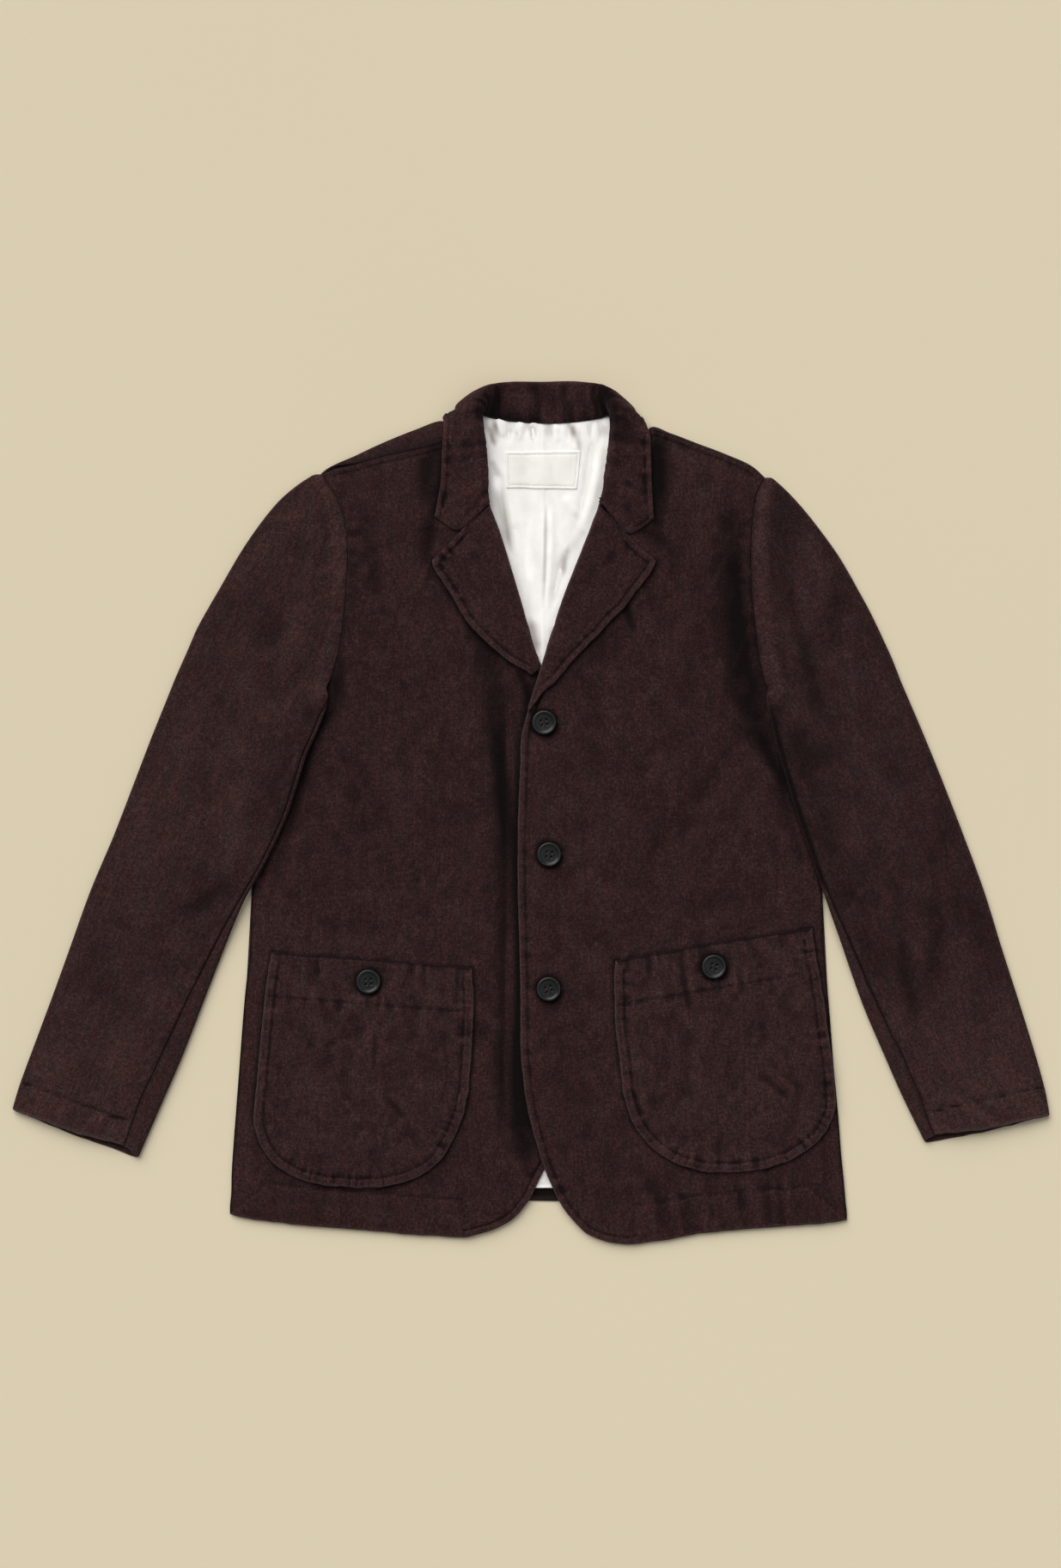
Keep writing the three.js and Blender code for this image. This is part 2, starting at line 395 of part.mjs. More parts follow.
// ---- sleeves ------------------------------------------------------------------------------------------------
function sleeve(table, front, armholeZ) {
  const lowBack = back.slice(5);
  const over = (grid, x, y, clear, run) => {
    const on = heightOn(grid, x, y);
    if (on !== null) return on + clear;
    const rim = nearestOnRim(grid, x, y);
    return (rim.z + clear) * (1 - smooth((rim.d - 3) / run));
  };
  const floorOf = (r, x, y) => {
    const onBack = over(lowBack, x, y, CLOTH + 0.6, 15);
    return r.back >= 0 ? onBack : Math.max(onBack, over(front, x, y, 0.9, STEP_DOWN));
  };
  const upper = [], under = [];
  table.forEach((r, k) => {
    const W = hypot(r.ox - r.ix, r.oy - r.iy), dx = (r.ox - r.ix) / W, dy = (r.oy - r.iy) / W;
    const R = Math.min(SLEEVE_R, W / 3);
    const open = r.back >= 0;
    const place = (s, up) => V(r.ix + dx * s, r.iy + dy * s, up);
    const base = (s) => floorOf(r, r.ix + dx * s, r.iy + dy * s);
    const crown = (s) => SLEEVE_CROWN * smooth(Math.min(s, W - s) / 30) * Math.min(1, W / 60);
    const topZ = (s) => {
      const z = base(s) + 2 * R + crown(s);
      return open ? lerp(armholeZ[k], z, smooth(s / 25)) : z;
    };
    const cut = Math.min(BACK_SEAM, W * 0.4);
    const around = (s0, sign, angle) => place(s0 + sign * R * Math.sin(angle), base(s0 + sign * R * 0.7) + R + R * Math.cos(angle));
    // upper piece: across the top, round the outer fold, a little way in below
    const s0 = open ? SEAM : Math.max(r.seam, 3.2) + SEAM;
    const onSide = !open && r.seam < 0;
    const u = [];
    for (const t of [0, 0.025, 0.12, 0.26, 0.48, 0.74, 1]) { const s = lerp(s0, W - R - 0.4, t); u.push(place(s, topZ(s))); }
    for (const a of [0.3, 0.55, 0.8]) u.push(around(W - R, 1, a * Math.PI));
    for (const s of [W - R, W - cut]) u.push(place(s, base(s)));
    if (onSide) [u[0], u[1]] = [around(R, -1, 0.45 * Math.PI), around(R, -1, 0.15 * Math.PI)];
    upper.push(u);
    // under piece: below, round the inner fold, up to the seam on top
    const n = [];
    const s1 = open ? r.back : R, s2 = W - cut - 0.4;
    for (const t of [0, 0.35, 0.6, 0.76, 0.87, 0.94, 1]) { const s = lerp(s2, Math.min(s1 + (open ? 4 : 0), s2 - 1), t); n.push(place(s, base(s))); }
    if (open) for (const d of [3.2, 2.4, 1.6, 0.8, 0]) n.push(place(Math.min(s1 + d, s2 - 2 + 0.2 * d), base(s1 + d)));
    else if (onSide) for (const a of [0.97, 0.93, 0.88, 0.82, 0.76]) n.push(around(R, -1, a * Math.PI));
    else {
      for (const a of [0.8, 0.5, 0.2]) n.push(around(R, -1, a * Math.PI));
      const sEnd = Math.max(r.seam, 3.2);
      for (const s of [lerp(R, sEnd, 0.5), sEnd]) n.push(place(s, topZ(s)));
    }
    under.push(n);
  });
  return { upper, under };
}
// along the armhole the sleeve's edge is level with the front's; the last open row lies on the front
const armholeHeights = (front) => SLEEVE_RIGHT.map((_, k) => front[Math.min(k, 7)].at(-1).z + (k > 7 ? 2.2 : 0));
const sleeveRight = sleeve(SLEEVE_RIGHT, frontRight, armholeHeights(frontRight));
const sleeveLeft = sleeve(SLEEVE_LEFT, frontLeft, armholeHeights(frontLeft));

// ---- pieces that lie on a panel, made from its points -------------------------------------------------------
function overlay(table, names, columns, carrier, gap, thickness, extra = () => 0) {
  const [lx, ly, rx, ry] = names;
  return table.map((r) =>
    Array.from({ length: columns + 1 }, (_, j) => {
      const u = j / columns, x = lerp(r[lx], r[rx], u);
      const y = lerp(r[ly], r[ry], u) + (r.bow || 0) * 4 * u * (1 - u);
      const on = Math.max(...[-7, 0, 7].map((d) => heightOn(carrier, x + d, y) ?? nearestOnRim(carrier, x + d, y).z));
      const z = on + gap + thickness;
      return V(x, y, z + extra(r, u));
    }));
}
const lapelLift = (r, u) => r.lift * (1 - u) ** 1.6;
const lapelRight = overlay(LAPEL_RIGHT, ["rx", "ry", "ox", "oy"], 5, frontRight, STACK, DOUBLE, lapelLift);
const lapelLeft = overlay(LAPEL_LEFT, ["rx", "ry", "ox", "oy"], 5, frontLeft, STACK, DOUBLE, lapelLift);
const pocketRight = overlay(POCKET_RIGHT, ["lx", "ly", "rx", "ry"], 14, frontRight, STACK, CLOTH);
const pocketLeft = overlay(POCKET_LEFT, ["lx", "ly", "rx", "ry"], 14, frontLeft, STACK, CLOTH);
const lining = LINING_ROWS.map((r) =>
  Array.from({ length: 9 }, (_, j) => V(lerp(r.lx, r.rx, j / 8), lerp(r.ly, r.ry, j / 8), r.z + LINING)));
const label = overlay(LABEL, ["lx", "ly", "rx", "ry"], 3, lining, 0.4, LINING);
const collar = COLLAR.map((r) => ["e", "h", "m", "r", "s", "f"].map((k) => V(r[k + "x"], r[k + "y"], r[k + "z"])));
// two more points on the fall and one on the stand, so that the roll is round
const rounded = collar.map((row) => {
  const curve = new THREE.CatmullRomCurve3(row, false, "centripetal");
  return [0, 0.2, 0.4, 0.5, 0.6, 0.7, 0.8, 0.9, 1].map((t) => curve.getPoint(t));
});

// ---- buttons -------------------------------------------------------------------------------------------------
const wasm = await Module();
wasm.setup();
function solid(geometry) {
  const g = geometry.index ? geometry.toNonIndexed() : geometry.clone();
  g.deleteAttribute("normal");
  g.deleteAttribute("uv");
  const merged = mergeVertices(g, 1e-4);
  return new wasm.Manifold(new wasm.Mesh({
    numProp: 3, vertProperties: merged.attributes.position.array, triVerts: new Uint32Array(merged.index.array),
  }));
}
function buttonGeometry() {
  const b = BUTTON, R = b.radius;
  const profile = [[0, 0], [R - 1.6, 0], [R, 1.3], [R - 0.3, b.rim - 0.5], [R - 1.2, b.rim], [R - 2.4, b.rim - 0.5], [R - 3.2, b.well], [0, b.well]]
    .map(([x, y]) => new THREE.Vector2(x, y));
  const disc = new THREE.LatheGeometry(profile, 20).rotateX(Math.PI / 2);
  let body = solid(disc);
  if (body.volume() < 0) throw new Error("button profile is reversed");
  for (const [sx, sy] of [[-1, -1], [1, -1], [1, 1], [-1, 1]]) {
    const drill = new THREE.CylinderGeometry(b.hole, b.hole, 8, 8).rotateX(Math.PI / 2).translate(sx * b.spread, sy * b.spread, 2);
    body = body.subtract(solid(drill));
  }
  const mesh = body.getMesh(), g = new THREE.BufferGeometry();
  const v = new Float32Array(mesh.numVert * 3);
  for (let i = 0; i < mesh.numVert; i++) v.set(mesh.vertProperties.subarray(i * mesh.numProp, i * mesh.numProp + 3), i * 3);
  g.setAttribute("position", new THREE.BufferAttribute(v, 3));
  g.setIndex(new THREE.BufferAttribute(new Uint32Array(mesh.triVerts), 1));
  g.computeVertexNormals();
  return g;
}

// ---- scene graph ----------------------------------------------------------------------------------------------
const cloth = () => new THREE.MeshStandardMaterial({ color: 0x2f2020, roughness: 0.95, metalness: 0, side: THREE.DoubleSide });
const cotton = () => new THREE.MeshStandardMaterial({ color: 0xe9e5df, roughness: 0.9, metalness: 0, side: THREE.DoubleSide });
const horn = () => new THREE.MeshStandardMaterial({ color: 0x17191a, roughness: 0.35, metalness: 0 });
const jacket = new THREE.Group();
const add = (name, geometry, material, to = jacket) => {
  const mesh = new THREE.Mesh(geometry, material);
  mesh.name = name;
  to.add(mesh);
  return mesh;
};
add("back", wall(back, CLOTH, 1), cloth());
add("back_lining", wall(lining, LINING, -1), cotton());
add("neck_label", wall(label, LINING, -1), cotton());
add("front_right", wall(frontRight, CLOTH, 1), cloth());
add("front_left", wall(frontLeft, CLOTH, -1), cloth());
add("sleeve_right_upper", wall(sleeveRight.upper, CLOTH, 1), cloth());
add("sleeve_right_under", wall(sleeveRight.under, CLOTH, 1), cloth());
add("sleeve_left_upper", wall(sleeveLeft.upper, CLOTH, -1), cloth());
add("sleeve_left_under", wall(sleeveLeft.under, CLOTH, -1), cloth());
add("lapel_right", wall(lapelRight, DOUBLE, 1), cloth());
add("lapel_left", wall(lapelLeft, DOUBLE, -1), cloth());
add("collar", wall(rounded, DOUBLE, 1), cloth());
add("pocket_right", wall(pocketRight, CLOTH, -1), cloth());
add("pocket_left", wall(pocketLeft, CLOTH, -1), cloth());
const grids = { front_left: frontLeft, pocket_right: pocketRight, pocket_left: pocketLeft };
for (const b of BUTTONS) {
  const spots = [[0, 0], [1, 0], [-1, 0], [0, 1], [0, -1]].map(([p, q]) =>
    heightOn(grids[b.on], b.x + p * BUTTON.radius, b.y + q * BUTTON.radius) ?? 0);
  add(b.name, buttonGeometry(), horn()).position.set(b.x, b.y, Math.max(...spots) + STACK);
}

export default jacket;
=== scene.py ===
import math

import bpy
import numpy as np
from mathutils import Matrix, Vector
from mathutils.bvhtree import BVHTree
from mathutils.geometry import delaunay_2d_cdt
from mathutils.kdtree import KDTree


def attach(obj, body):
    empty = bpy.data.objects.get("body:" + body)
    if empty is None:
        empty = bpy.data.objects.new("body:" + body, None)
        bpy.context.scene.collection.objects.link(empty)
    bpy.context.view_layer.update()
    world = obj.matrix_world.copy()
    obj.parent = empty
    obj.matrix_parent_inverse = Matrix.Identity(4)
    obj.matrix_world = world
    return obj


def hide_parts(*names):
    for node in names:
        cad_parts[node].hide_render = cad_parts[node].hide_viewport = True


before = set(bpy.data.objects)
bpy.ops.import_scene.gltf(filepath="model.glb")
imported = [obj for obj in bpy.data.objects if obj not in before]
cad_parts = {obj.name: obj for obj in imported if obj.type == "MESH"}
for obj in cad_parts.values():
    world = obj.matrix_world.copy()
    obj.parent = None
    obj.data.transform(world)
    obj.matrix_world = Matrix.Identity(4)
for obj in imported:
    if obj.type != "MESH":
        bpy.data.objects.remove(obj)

scene = bpy.context.scene
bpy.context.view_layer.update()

# ---- camera, light, floor --------------------------------------------------------------------------------
camera = bpy.data.objects.new("camera", bpy.data.cameras.new("camera"))
camera.data.lens = 85
camera.data.sensor_fit = "VERTICAL"
camera.data.sensor_height = 36
camera.data.clip_end = 50
camera.location = (-0.0004, 0.0261, 3.362)
scene.collection.objects.link(camera)
scene.camera = camera
scene.view_settings.view_transform = "Standard"
scene.view_settings.look = "None"


def sun(name, toward, strength, spread, color):
    """A soft light that comes from the direction toward."""
    data = bpy.data.lights.new(name, "SUN")
    data.energy = strength
    data.angle = math.radians(spread)
    data.color = color
    o = bpy.data.objects.new(name, data)
    o.rotation_euler = Vector(toward).to_track_quat("Z", "Y").to_euler()
    scene.collection.objects.link(o)


sun("key", (-0.42, 0.88, 0.80), 3.35, 58, (1.0, 0.99, 0.97))
sun("fill", (0.8, -0.1, 1.0), 0.35, 70, (0.97, 0.98, 1.0))
world = bpy.data.worlds.new("studio")
world.use_nodes = True
world.node_tree.nodes["Background"].inputs["Color"].default_value = (1, 0.99, 0.97, 1)
world.node_tree.nodes["Background"].inputs["Strength"].default_value = 0.25
scene.world = world

# ---- tables: the same rows as the CAD part's, so that each piece lies where its solid does ------------------


def rows(names, text):
    """Named columns from a block of numbers."""
    data = np.array([[float(v) for v in line.split()] for line in text.strip().splitlines()])
    return {n: data[:, i].copy() for i, n in enumerate(names.split())}


# Fronts. a: neck, roll line and front edge. b: shoulder tip, armhole, side. Heights of the outer face at a,
# in the middle and at b. f: level strip at a, w: length of the rise from it.
FRONT_COLS = "ax ay bx by bow zA fA wA zM wB zB"
FRONT_RIGHT = rows(FRONT_COLS, """
-54.5 340.5 -189.5 307 0 6.6 0 20 6.8 20 5.6
-50 324 -177 288 0 7.2 0 20 7.8 20 6.6
-43 301.5 -169.5 268 0 7.6 0 20 8.1 20 7
-36.5 276.5 -166 240.5 0 7.6 0 20 8.1 20 7
-22 235 -167 208 0 7.6 0 20 8.1 20 7
-10 195.5 -171 165 0 7.6 0 20 8.1 20 6.8
1 158 -175.5 141.5 0 7 0 25 8.1 25 6.4
9.5 134 -181 122 0 6.2 0 30 8.1 30 5.6
23.5 109.5 -190.5 102.5 0 5.4 20 45 8.1 40 3.8
36 91 -213 84.5 0 5.4 38 45 8.1 60 3.4
39 73.5 -242 73.5 0 5.4 45 45 8.1 70 3.3
39 36.5 -245.5 36.5 0 5.4 45 45 8.1 65 3.3
39 -2.5 -249 -2.5 0 5.4 45 45 8.1 60 3.3
39 -41.5 -251 -41.5 0 5.4 45 45 8.1 45 3.3
39 -80.5 -253.5 -80.5 0 5.4 45 45 8.1 35 3.3
39 -123.5 -255 -123.5 0 5.4 45 45 8.1 30 3.3
39 -174.5 -259.5 -166.5 0 5.4 45 45 8.1 30 3.3
38 -229 -263.5 -217 0 5.4 45 45 8.1 30 3.3
33 -275.5 -267 -264 0 5.4 38 45 8.1 30 3.3
21 -308.5 -270 -303 0 5.2 22 45 7.8 30 3.3
9.5 -329 -271.5 -326.5 0 5 6 40 7 30 3.3
-2.5 -353 -272 -346 -1.5 4.6 0 30 5.6 30 3.3
-22 -372.5 -273 -357 -4 4 0 20 4.4 20 3.3
-57 -385 -273 -364 -4 3.6 0 10 3.7 10 3.3""")
FRONT_LEFT = rows(FRONT_COLS, """
82.5 340.5 211.5 304 0 6.6 0 20 6.8 20 5.6
77 324 203.5 288 0 7.2 0 20 7.8 20 6.6
68.5 301.5 200.5 268 0 7.6 0 20 8.1 20 7
61 278 199 240.5 0 7.6 0 20 8.1 20 7
44.5 235 199.5 208 0 7.6 0 20 8.1 20 7
29 195.5 203.5 165 0 7.8 0 20 8.1 20 6.8
17 158 206.5 141.5 0 8.4 0 25 8.1 25 6.4
8.5 130 210.5 122 0 8.6 0 30 8.1 30 5.6
2.5 108 220 102.5 0 8.6 0 40 8.1 40 3.8
-4 88 237 84.5 0 8.6 0 50 8.1 60 3.4
-8 72 254.5 73.5 0 8.6 0 60 8.1 70 3.3
-10 36.5 257.5 36.5 0 8.6 0 60 8.1 65 3.3
-11.5 -2.5 260.5 -2.5 0 8.6 0 60 8.1 60 3.3
-12 -41.5 263 -41.5 0 8.6 0 60 8.1 45 3.3
-12 -80.5 264.5 -80.5 0 8.6 0 60 8.1 35 3.3
-10 -131.5 266 -127.5 0 8.6 0 60 8.1 30 3.3
-9.5 -182 270.5 -178 0 8.6 0 60 8.1 30 3.3
-8 -233 274.5 -229 0 8.6 0 60 8.1 30 3.3
-1.5 -275.5 278.5 -272 0 8.4 0 60 8.1 30 3.3
7 -307 281.5 -311 0 8 0 50 7.8 30 3.3
18 -336 284 -336.5 0 6.8 0 40 7 30 3.3
30.5 -360 285.5 -353.5 -1.5 5.4 0 30 5.6 30 3.3
51.5 -382 286.5 -363 0 4.2 0 20 4.4 20 3.3
87.5 -391.7 286.5 -369.5 2.5 3.6 0 10 3.7 10 3.3""")
# Shoulder lines, and the back's top edge with the strip that turns over the fold.
SHOULDER_RIGHT = rows("x y", """
-189.5 307
-182 310.5
-157 317
-131 324
-106 329.5
-81 335.5
-54.5 340.5""")
SHOULDER_LEFT = rows("x y", """
82.5 340.5
101 343.5
108.5 348
127 343.5
152 334
177 324.5
203 312
211.5 304""")
BACK_TOP = rows("x y strip", """
-191 307 0
-185.5 312.5 2
-157 325 8
-138 334 11
-105 347.5 18
-81 355.5 20
-76 354.5 18
-69.5 348.5 8
-60 342.5 0
-14 345.5 0
14 347 0
42 345.5 0
73 341 0
93 342 0
104.5 346.5 0
108.5 350 0
127 344.5 0
152 335 0
177 325.5 0
203 313 0
212 304.5 0""")
BACK = rows("lx ly rx ry bow cap", """
-191 307 212 304.5 0 1
-192.5 278 213.5 278 0 0.75
-194 247 217 247 0 0.45
-196.5 208 219 208 0 0.2
-203 165 224.5 165 0 0.05
-211.5 126 232.5 126 0 0
-224.5 95 242 95 0 0
-242 73.5 254.5 73.5 0 0
-252 -49.5 263 -49.5 0 0
-259.5 -174.5 270 -174.5 0 0
-266 -248.5 275 -248.5 0 0
-270 -307 280.5 -307 0 0
-273 -363 286 -368.5 13.5 0""")
# Sleeves. o: outer fold, i: armhole seam, then inner fold; seam: the upper seam from the inner fold; back: where
# the under piece starts along the armhole (-1 on closed rows).
SLEEVE_COLS = "ox oy ix iy seam back"
SLEEVE_RIGHT = rows(SLEEVE_COLS, """
-196.5 307 -189.5 307 0 0.3
-211.5 297.5 -177 288 0 16
-228 283.5 -169.5 268 0 24
-246.5 261 -166 240.5 0 29
-263.5 236 -167 208 0 31
-281.5 205 -171 165 0 33
-292.5 186 -175.5 141.5 0 33
-303.5 166 -181 122 0 31
-308 155.5 -184.6 113.5 0 13
-312.5 145 -183.5 105 -1 -1
-322 123.5 -189 84.5 0 -1
-332.5 97.5 -195.5 68.5 0 -1
-343 71.5 -203 52 0 -1
-361 24.5 -220 -1 0 -1
-380 -24.5 -242 -48 1.5 -1
-398.5 -68 -259 -78.5 4 -1
-415.5 -115 -278.5 -124.5 9.5 -1
-433.5 -165 -298 -174.5 15 -1
-451 -212 -316.5 -222 18.5 -1
-463.5 -246 -333 -260 19.5 -1
-470.5 -269.5 -355.5 -311.5 15.5 -1""")
SLEEVE_LEFT = rows(SLEEVE_COLS, """
218.5 304 211.5 304 0 0.3
231 293 203.5 288 0 10
245.5 277.5 200.5 268 0 15
263 255.5 199 240.5 0 19
280 231.5 199.5 208 0 20.5
298 200 203.5 165 0 23
306.5 184.5 206.5 141.5 0 25
316.5 164 210.5 122 0 25
322 152 213.9 113 0 12
327 141 213 104 -1 -1
335.5 119.5 217 84.5 0 -1
346 95 221.5 65 0 -1
357 69 227 45.5 0 -1
376 22 240 1 0 -1
394.5 -26 254.5 -41.5 2.5 -1
411 -71 266 -76 4 -1
425.5 -118 281.5 -119.5 8 -1
442 -169.5 301 -174.5 12.5 -1
457.5 -219.5 321.5 -222.5 15.5 -1
466.5 -252.5 336 -255.5 15.5 -1
470.5 -275 357 -298.5 9.5 -1""")
# Lapels from the gorge down to the break. r: roll line, o: outer edge; lift: extra height at the roll.
LAPEL_COLS = "rx ry ox oy bow lift"
LAPEL_RIGHT = rows(LAPEL_COLS, """
-37 277.5 -89.5 228.6 1.2 3.2
-30 260 -87.5 222 1 3.2
-23 239 -76 203 0 3.1
-16 215.5 -66 186 0 2.9
-10 195.5 -56 171 0 2.6
-5 177 -46 160 0 2.2
0 160 -34 149 0 1.8
4.6 146 -20 138 0 1.2
7.6 137.5 -9 130.8 0 0.8
6.6 129.5 1.2 124.6 0 0.6""")
LAPEL_LEFT = rows(LAPEL_COLS, """
61.5 277.5 113 228 -2.5 3.2
55.5 261 110.5 220.5 -1 3.2
48 243 98 204 0 3.1
40.5 223 85 187 0 2.9
32 202 70 171.5 0 2.6
25.5 184 56 156 0 2.2
19.5 164 42 141.5 0 1.8
12 141 25 122.5 0 1.2
4.5 118 11 108 0 0.8
-3 94.5 -1.5 92 0 0.3""")
# Collar stations round the neck: e fall's edge, h, m fall, r roll, s stand, f neck seam.
COLLAR_RIGHT = np.array([
    [-87.5, 268, 11.4, -63.2, 256.3, 11.6, -48.4, 269.5, 12.6, -39, 278, 13.6, -37, 279.5, 11.8, -41, 280.5, 9.8],
    [-85, 282.8, 11.2, -67.9, 278, 11.8, -51.5, 283.5, 12.9, -41.7, 292, 15.6, -38.6, 292, 13, -43.5, 293, 9.8],
    [-81.9, 301.5, 11, -67.9, 303, 12, -53.8, 307.5, 14.2, -42.9, 313, 18.6, -39, 313, 15, -46, 313, 9.7],
    [-80.7, 328.8, 10.8, -68.6, 330.3, 12.2, -55.4, 333.5, 15.6, -44.8, 335.8, 20, -41, 335, 16, -48.4, 334.2, 9.4],
    [-79.2, 351.5, 9.8, -70.2, 354.5, 12.4, -58.5, 357.6, 16.5, -47.6, 359.2, 21.4, -43.7, 357.6, 17, -48.4, 349, 9],
    [-78.6, 358.6, 4.6, -74.2, 363.1, 9, -62.4, 365.4, 16, -46.8, 368, 22, -43, 366, 18, -47.6, 350.5, 8.6],
    [-58, 345.5, 0, -64.7, 362.3, 0.5, -67.9, 369.5, 7.5, -44.5, 377.1, 21.5, -40.5, 373.2, 18, -45.2, 352, 8.2],
    [-38, 340, 0, -43.7, 373, 0.3, -48.4, 382.2, 7, -35.9, 387.3, 19.5, -33.5, 382.2, 16.5, -37.4, 353.5, 7.4],
    [-14, 337, 0, -15.6, 377, 0.1, -17.2, 390.9, 6, -16.4, 389.8, 13.6, -15.6, 383, 12.4, -15.6, 353, 7]])
COLLAR_MID = np.array([[14, 336, 0, 14, 377, 0, 14, 391.7, 5, 14, 389.4, 12, 14, 382.6, 11.4, 14, 352.5, 7]])
COLLAR_LEFT_FRONT = np.array([
    [111.5, 265.6, 11.4, 86.6, 253.5, 11.6, 74.9, 267, 12.6, 64.7, 278.5, 13.6, 61.5, 280, 11.8, 65.5, 281.5, 9.8],
    [110.8, 281.2, 11.2, 93.6, 278, 11.8, 78.8, 283.5, 12.9, 67.9, 292, 15.6, 64.8, 292, 13, 69.4, 293, 9.8],
    [109.6, 301.5, 11, 95.9, 303, 12, 81.9, 307.5, 14.2, 70.6, 313, 18.6, 67.2, 313, 15, 73.3, 313, 9.7],
    [108.8, 328.8, 10.8, 96.7, 330.3, 12.2, 83.5, 333.5, 15.6, 73.7, 335.8, 20, 70.4, 335, 16, 76.4, 334.2, 9.4]])
POCKET_COLS = "lx ly rx ry"
POCKET_RIGHT = rows(POCKET_COLS, """
-234.5 -126.5 -53.5 -141
-238 -144 -52 -158.5
-241.5 -173.5 -52 -184.5
-245.5 -217 -54.5 -227.5
-249.5 -254 -58.5 -263
-251 -277 -66.5 -288
-245.5 -299 -79 -311
-230 -320 -95 -326
-204.5 -333.5 -115.5 -335
-170 -339 -139 -339.5""")
POCKET_LEFT = rows(POCKET_COLS, """
76.5 -134 254.5 -104.5
75.5 -151 257.5 -123
76 -171 261 -143
78 -208 266.5 -178
81 -231.5 271 -209.5
84.5 -256.5 275 -242
93.5 -283 275.5 -269.5
113 -306 266 -290
138 -320 242.5 -310
157.5 -325 212 -322""")
LINING_ROWS = rows("lx ly rx ry z", """
-41 349 68 349 4.8
-49 333 76 333 4.5
-70 313 98 313 3.6
-100 278 132 278 2.1
-140 239 172 239 1.8
-152 192 180 192 1.8
-155 122 182 122 1.8
-200 67.5 214 67.5 1.8
-226 -41.5 238 -41.5 1.8
-236 -135.5 246 -135.5 1.8
-244 -260 255 -260 1.8
-246 -340.5 259 -340.5 1.8""")
LABEL = rows("lx ly rx ry", """
-23.5 327 45 328
-23 316 44 316.5
-22.5 305 43 305.5
-22 294.5 41.5 293.5""")
BUTTONS = [("button_front_1", 11.9, 81.8, "front_left"), ("button_front_2", 16.4, -37.6, "front_left"),
           ("button_front_3", 16.0, -159.4, "front_left"), ("button_pocket_right", -147.0, -152.6, "pocket_right"),
           ("button_pocket_left", 165.4, -139.1, "pocket_left")]

HEM_RIGHT = [(-57, -385), (-60.8, -385.5), (-99.8, -383.1), (-159.9, -378.2), (-220, -373.2), (-262, -367), (-273, -364)]
HEM_LEFT = [(87.5, -391.7), (96.7, -391.2), (126, -387), (157.6, -381.4), (191, -378), (225.4, -375.4), (272, -371.6), (286.5, -369.5)]


def chart(c, r):
    """The chart that folds and seams are drawn on has cells of 0.78 mm, counted from its top left corner."""
    return (np.asarray(c, float) - 618) * 0.78, (946.5 - np.asarray(r, float)) * 0.78


# ---- curves, fields, noise ----------------------------------------------------------------------------------


def smooth(t):
    c = np.clip(t, 0, 1)
    return c * c * (3 - 2 * c)


def lerp(a, b, t):
    return a + (b - a) * t


def hermite(knots, V, t):
    """A smooth curve through the rows of V at the given knots, read at t."""
    h = np.diff(knots)
    d = np.diff(V, axis=0) / h[:, None]
    m = np.empty_like(V)
    m[1:-1] = (d[:-1] * h[1:, None] + d[1:] * h[:-1, None]) / (h[:-1] + h[1:])[:, None]
    m[0], m[-1] = d[0], d[-1]
    i = np.clip(np.searchsorted(knots, t, side="right") - 1, 0, len(h) - 1)
    s = ((t - knots[i]) / h[i])[:, None]
    H = h[i][:, None]
    return ((2 * s**3 - 3 * s**2 + 1) * V[i] + (s**3 - 2 * s**2 + s) * H * m[i]
            + (-2 * s**3 + 3 * s**2) * V[i + 1] + (s**3 - s**2) * H * m[i + 1])


def spread(knots, lengths, step):
    """Parameters between the knots, so that each interval has points about step apart."""
    out = [np.linspace(knots[i], knots[i + 1], max(1, int(round(lengths[i] / step))) + 1)[:-1] for i in range(len(lengths))]
    return np.concatenate(out + [[knots[-1]]])


def spline(P, step=1.0, power=0.75):
    P = np.asarray(P, float)
    L = np.maximum(np.linalg.norm(np.diff(P[:, :3], axis=0), axis=1), 1e-6)
    k = np.r_[0, np.cumsum(L**power)]
    return hermite(k, P, spread(k, L, step))


def refine(G, step_rows, step_cols, power=0.75):
    """A finer grid through a grid of points, smooth both ways."""
    G = np.asarray(G, float)
    n, m, _ = G.shape
    L = np.maximum(np.linalg.norm(np.diff(G, axis=0), axis=2).mean(1), 0.05)
    k = np.r_[0, np.cumsum(L**power)]
    G = hermite(k, G.reshape(n, -1), spread(k, L, step_rows)).reshape(-1, m, 3)
    L = np.maximum(np.linalg.norm(np.diff(G, axis=1), axis=2).max(0), 0.05)
    k = np.r_[0, np.cumsum(L**power)]
    T = np.swapaxes(G, 0, 1)
    T = hermite(k, T.reshape(m, -1), spread(k, L, step_cols)).reshape(-1, G.shape[0], 3)
    return np.swapaxes(T, 0, 1).copy()


def resample(P, step):
    L = np.r_[0, np.cumsum(np.linalg.norm(np.diff(P[:, :2], axis=0), axis=1))]
    t = np.linspace(0, L[-1], max(1, int(round(L[-1] / step))) + 1)
    return np.stack([np.interp(t, L, P[:, c]) for c in range(P.shape[1])], 1)


def lattice(ix, iy, seed):
    h = (ix.astype(np.int64) * 374761393 + iy.astype(np.int64) * 668265263 + seed * 974634777) & 0x7FFFFFFF
    h = ((h ^ (h >> 13)) * 1274126177) & 0x7FFFFFFF
    h = ((h ^ (h >> 15)) * 668265263) & 0x7FFFFFFF
    return (h ^ (h >> 16)) / 0x7FFFFFFF * 2 - 1


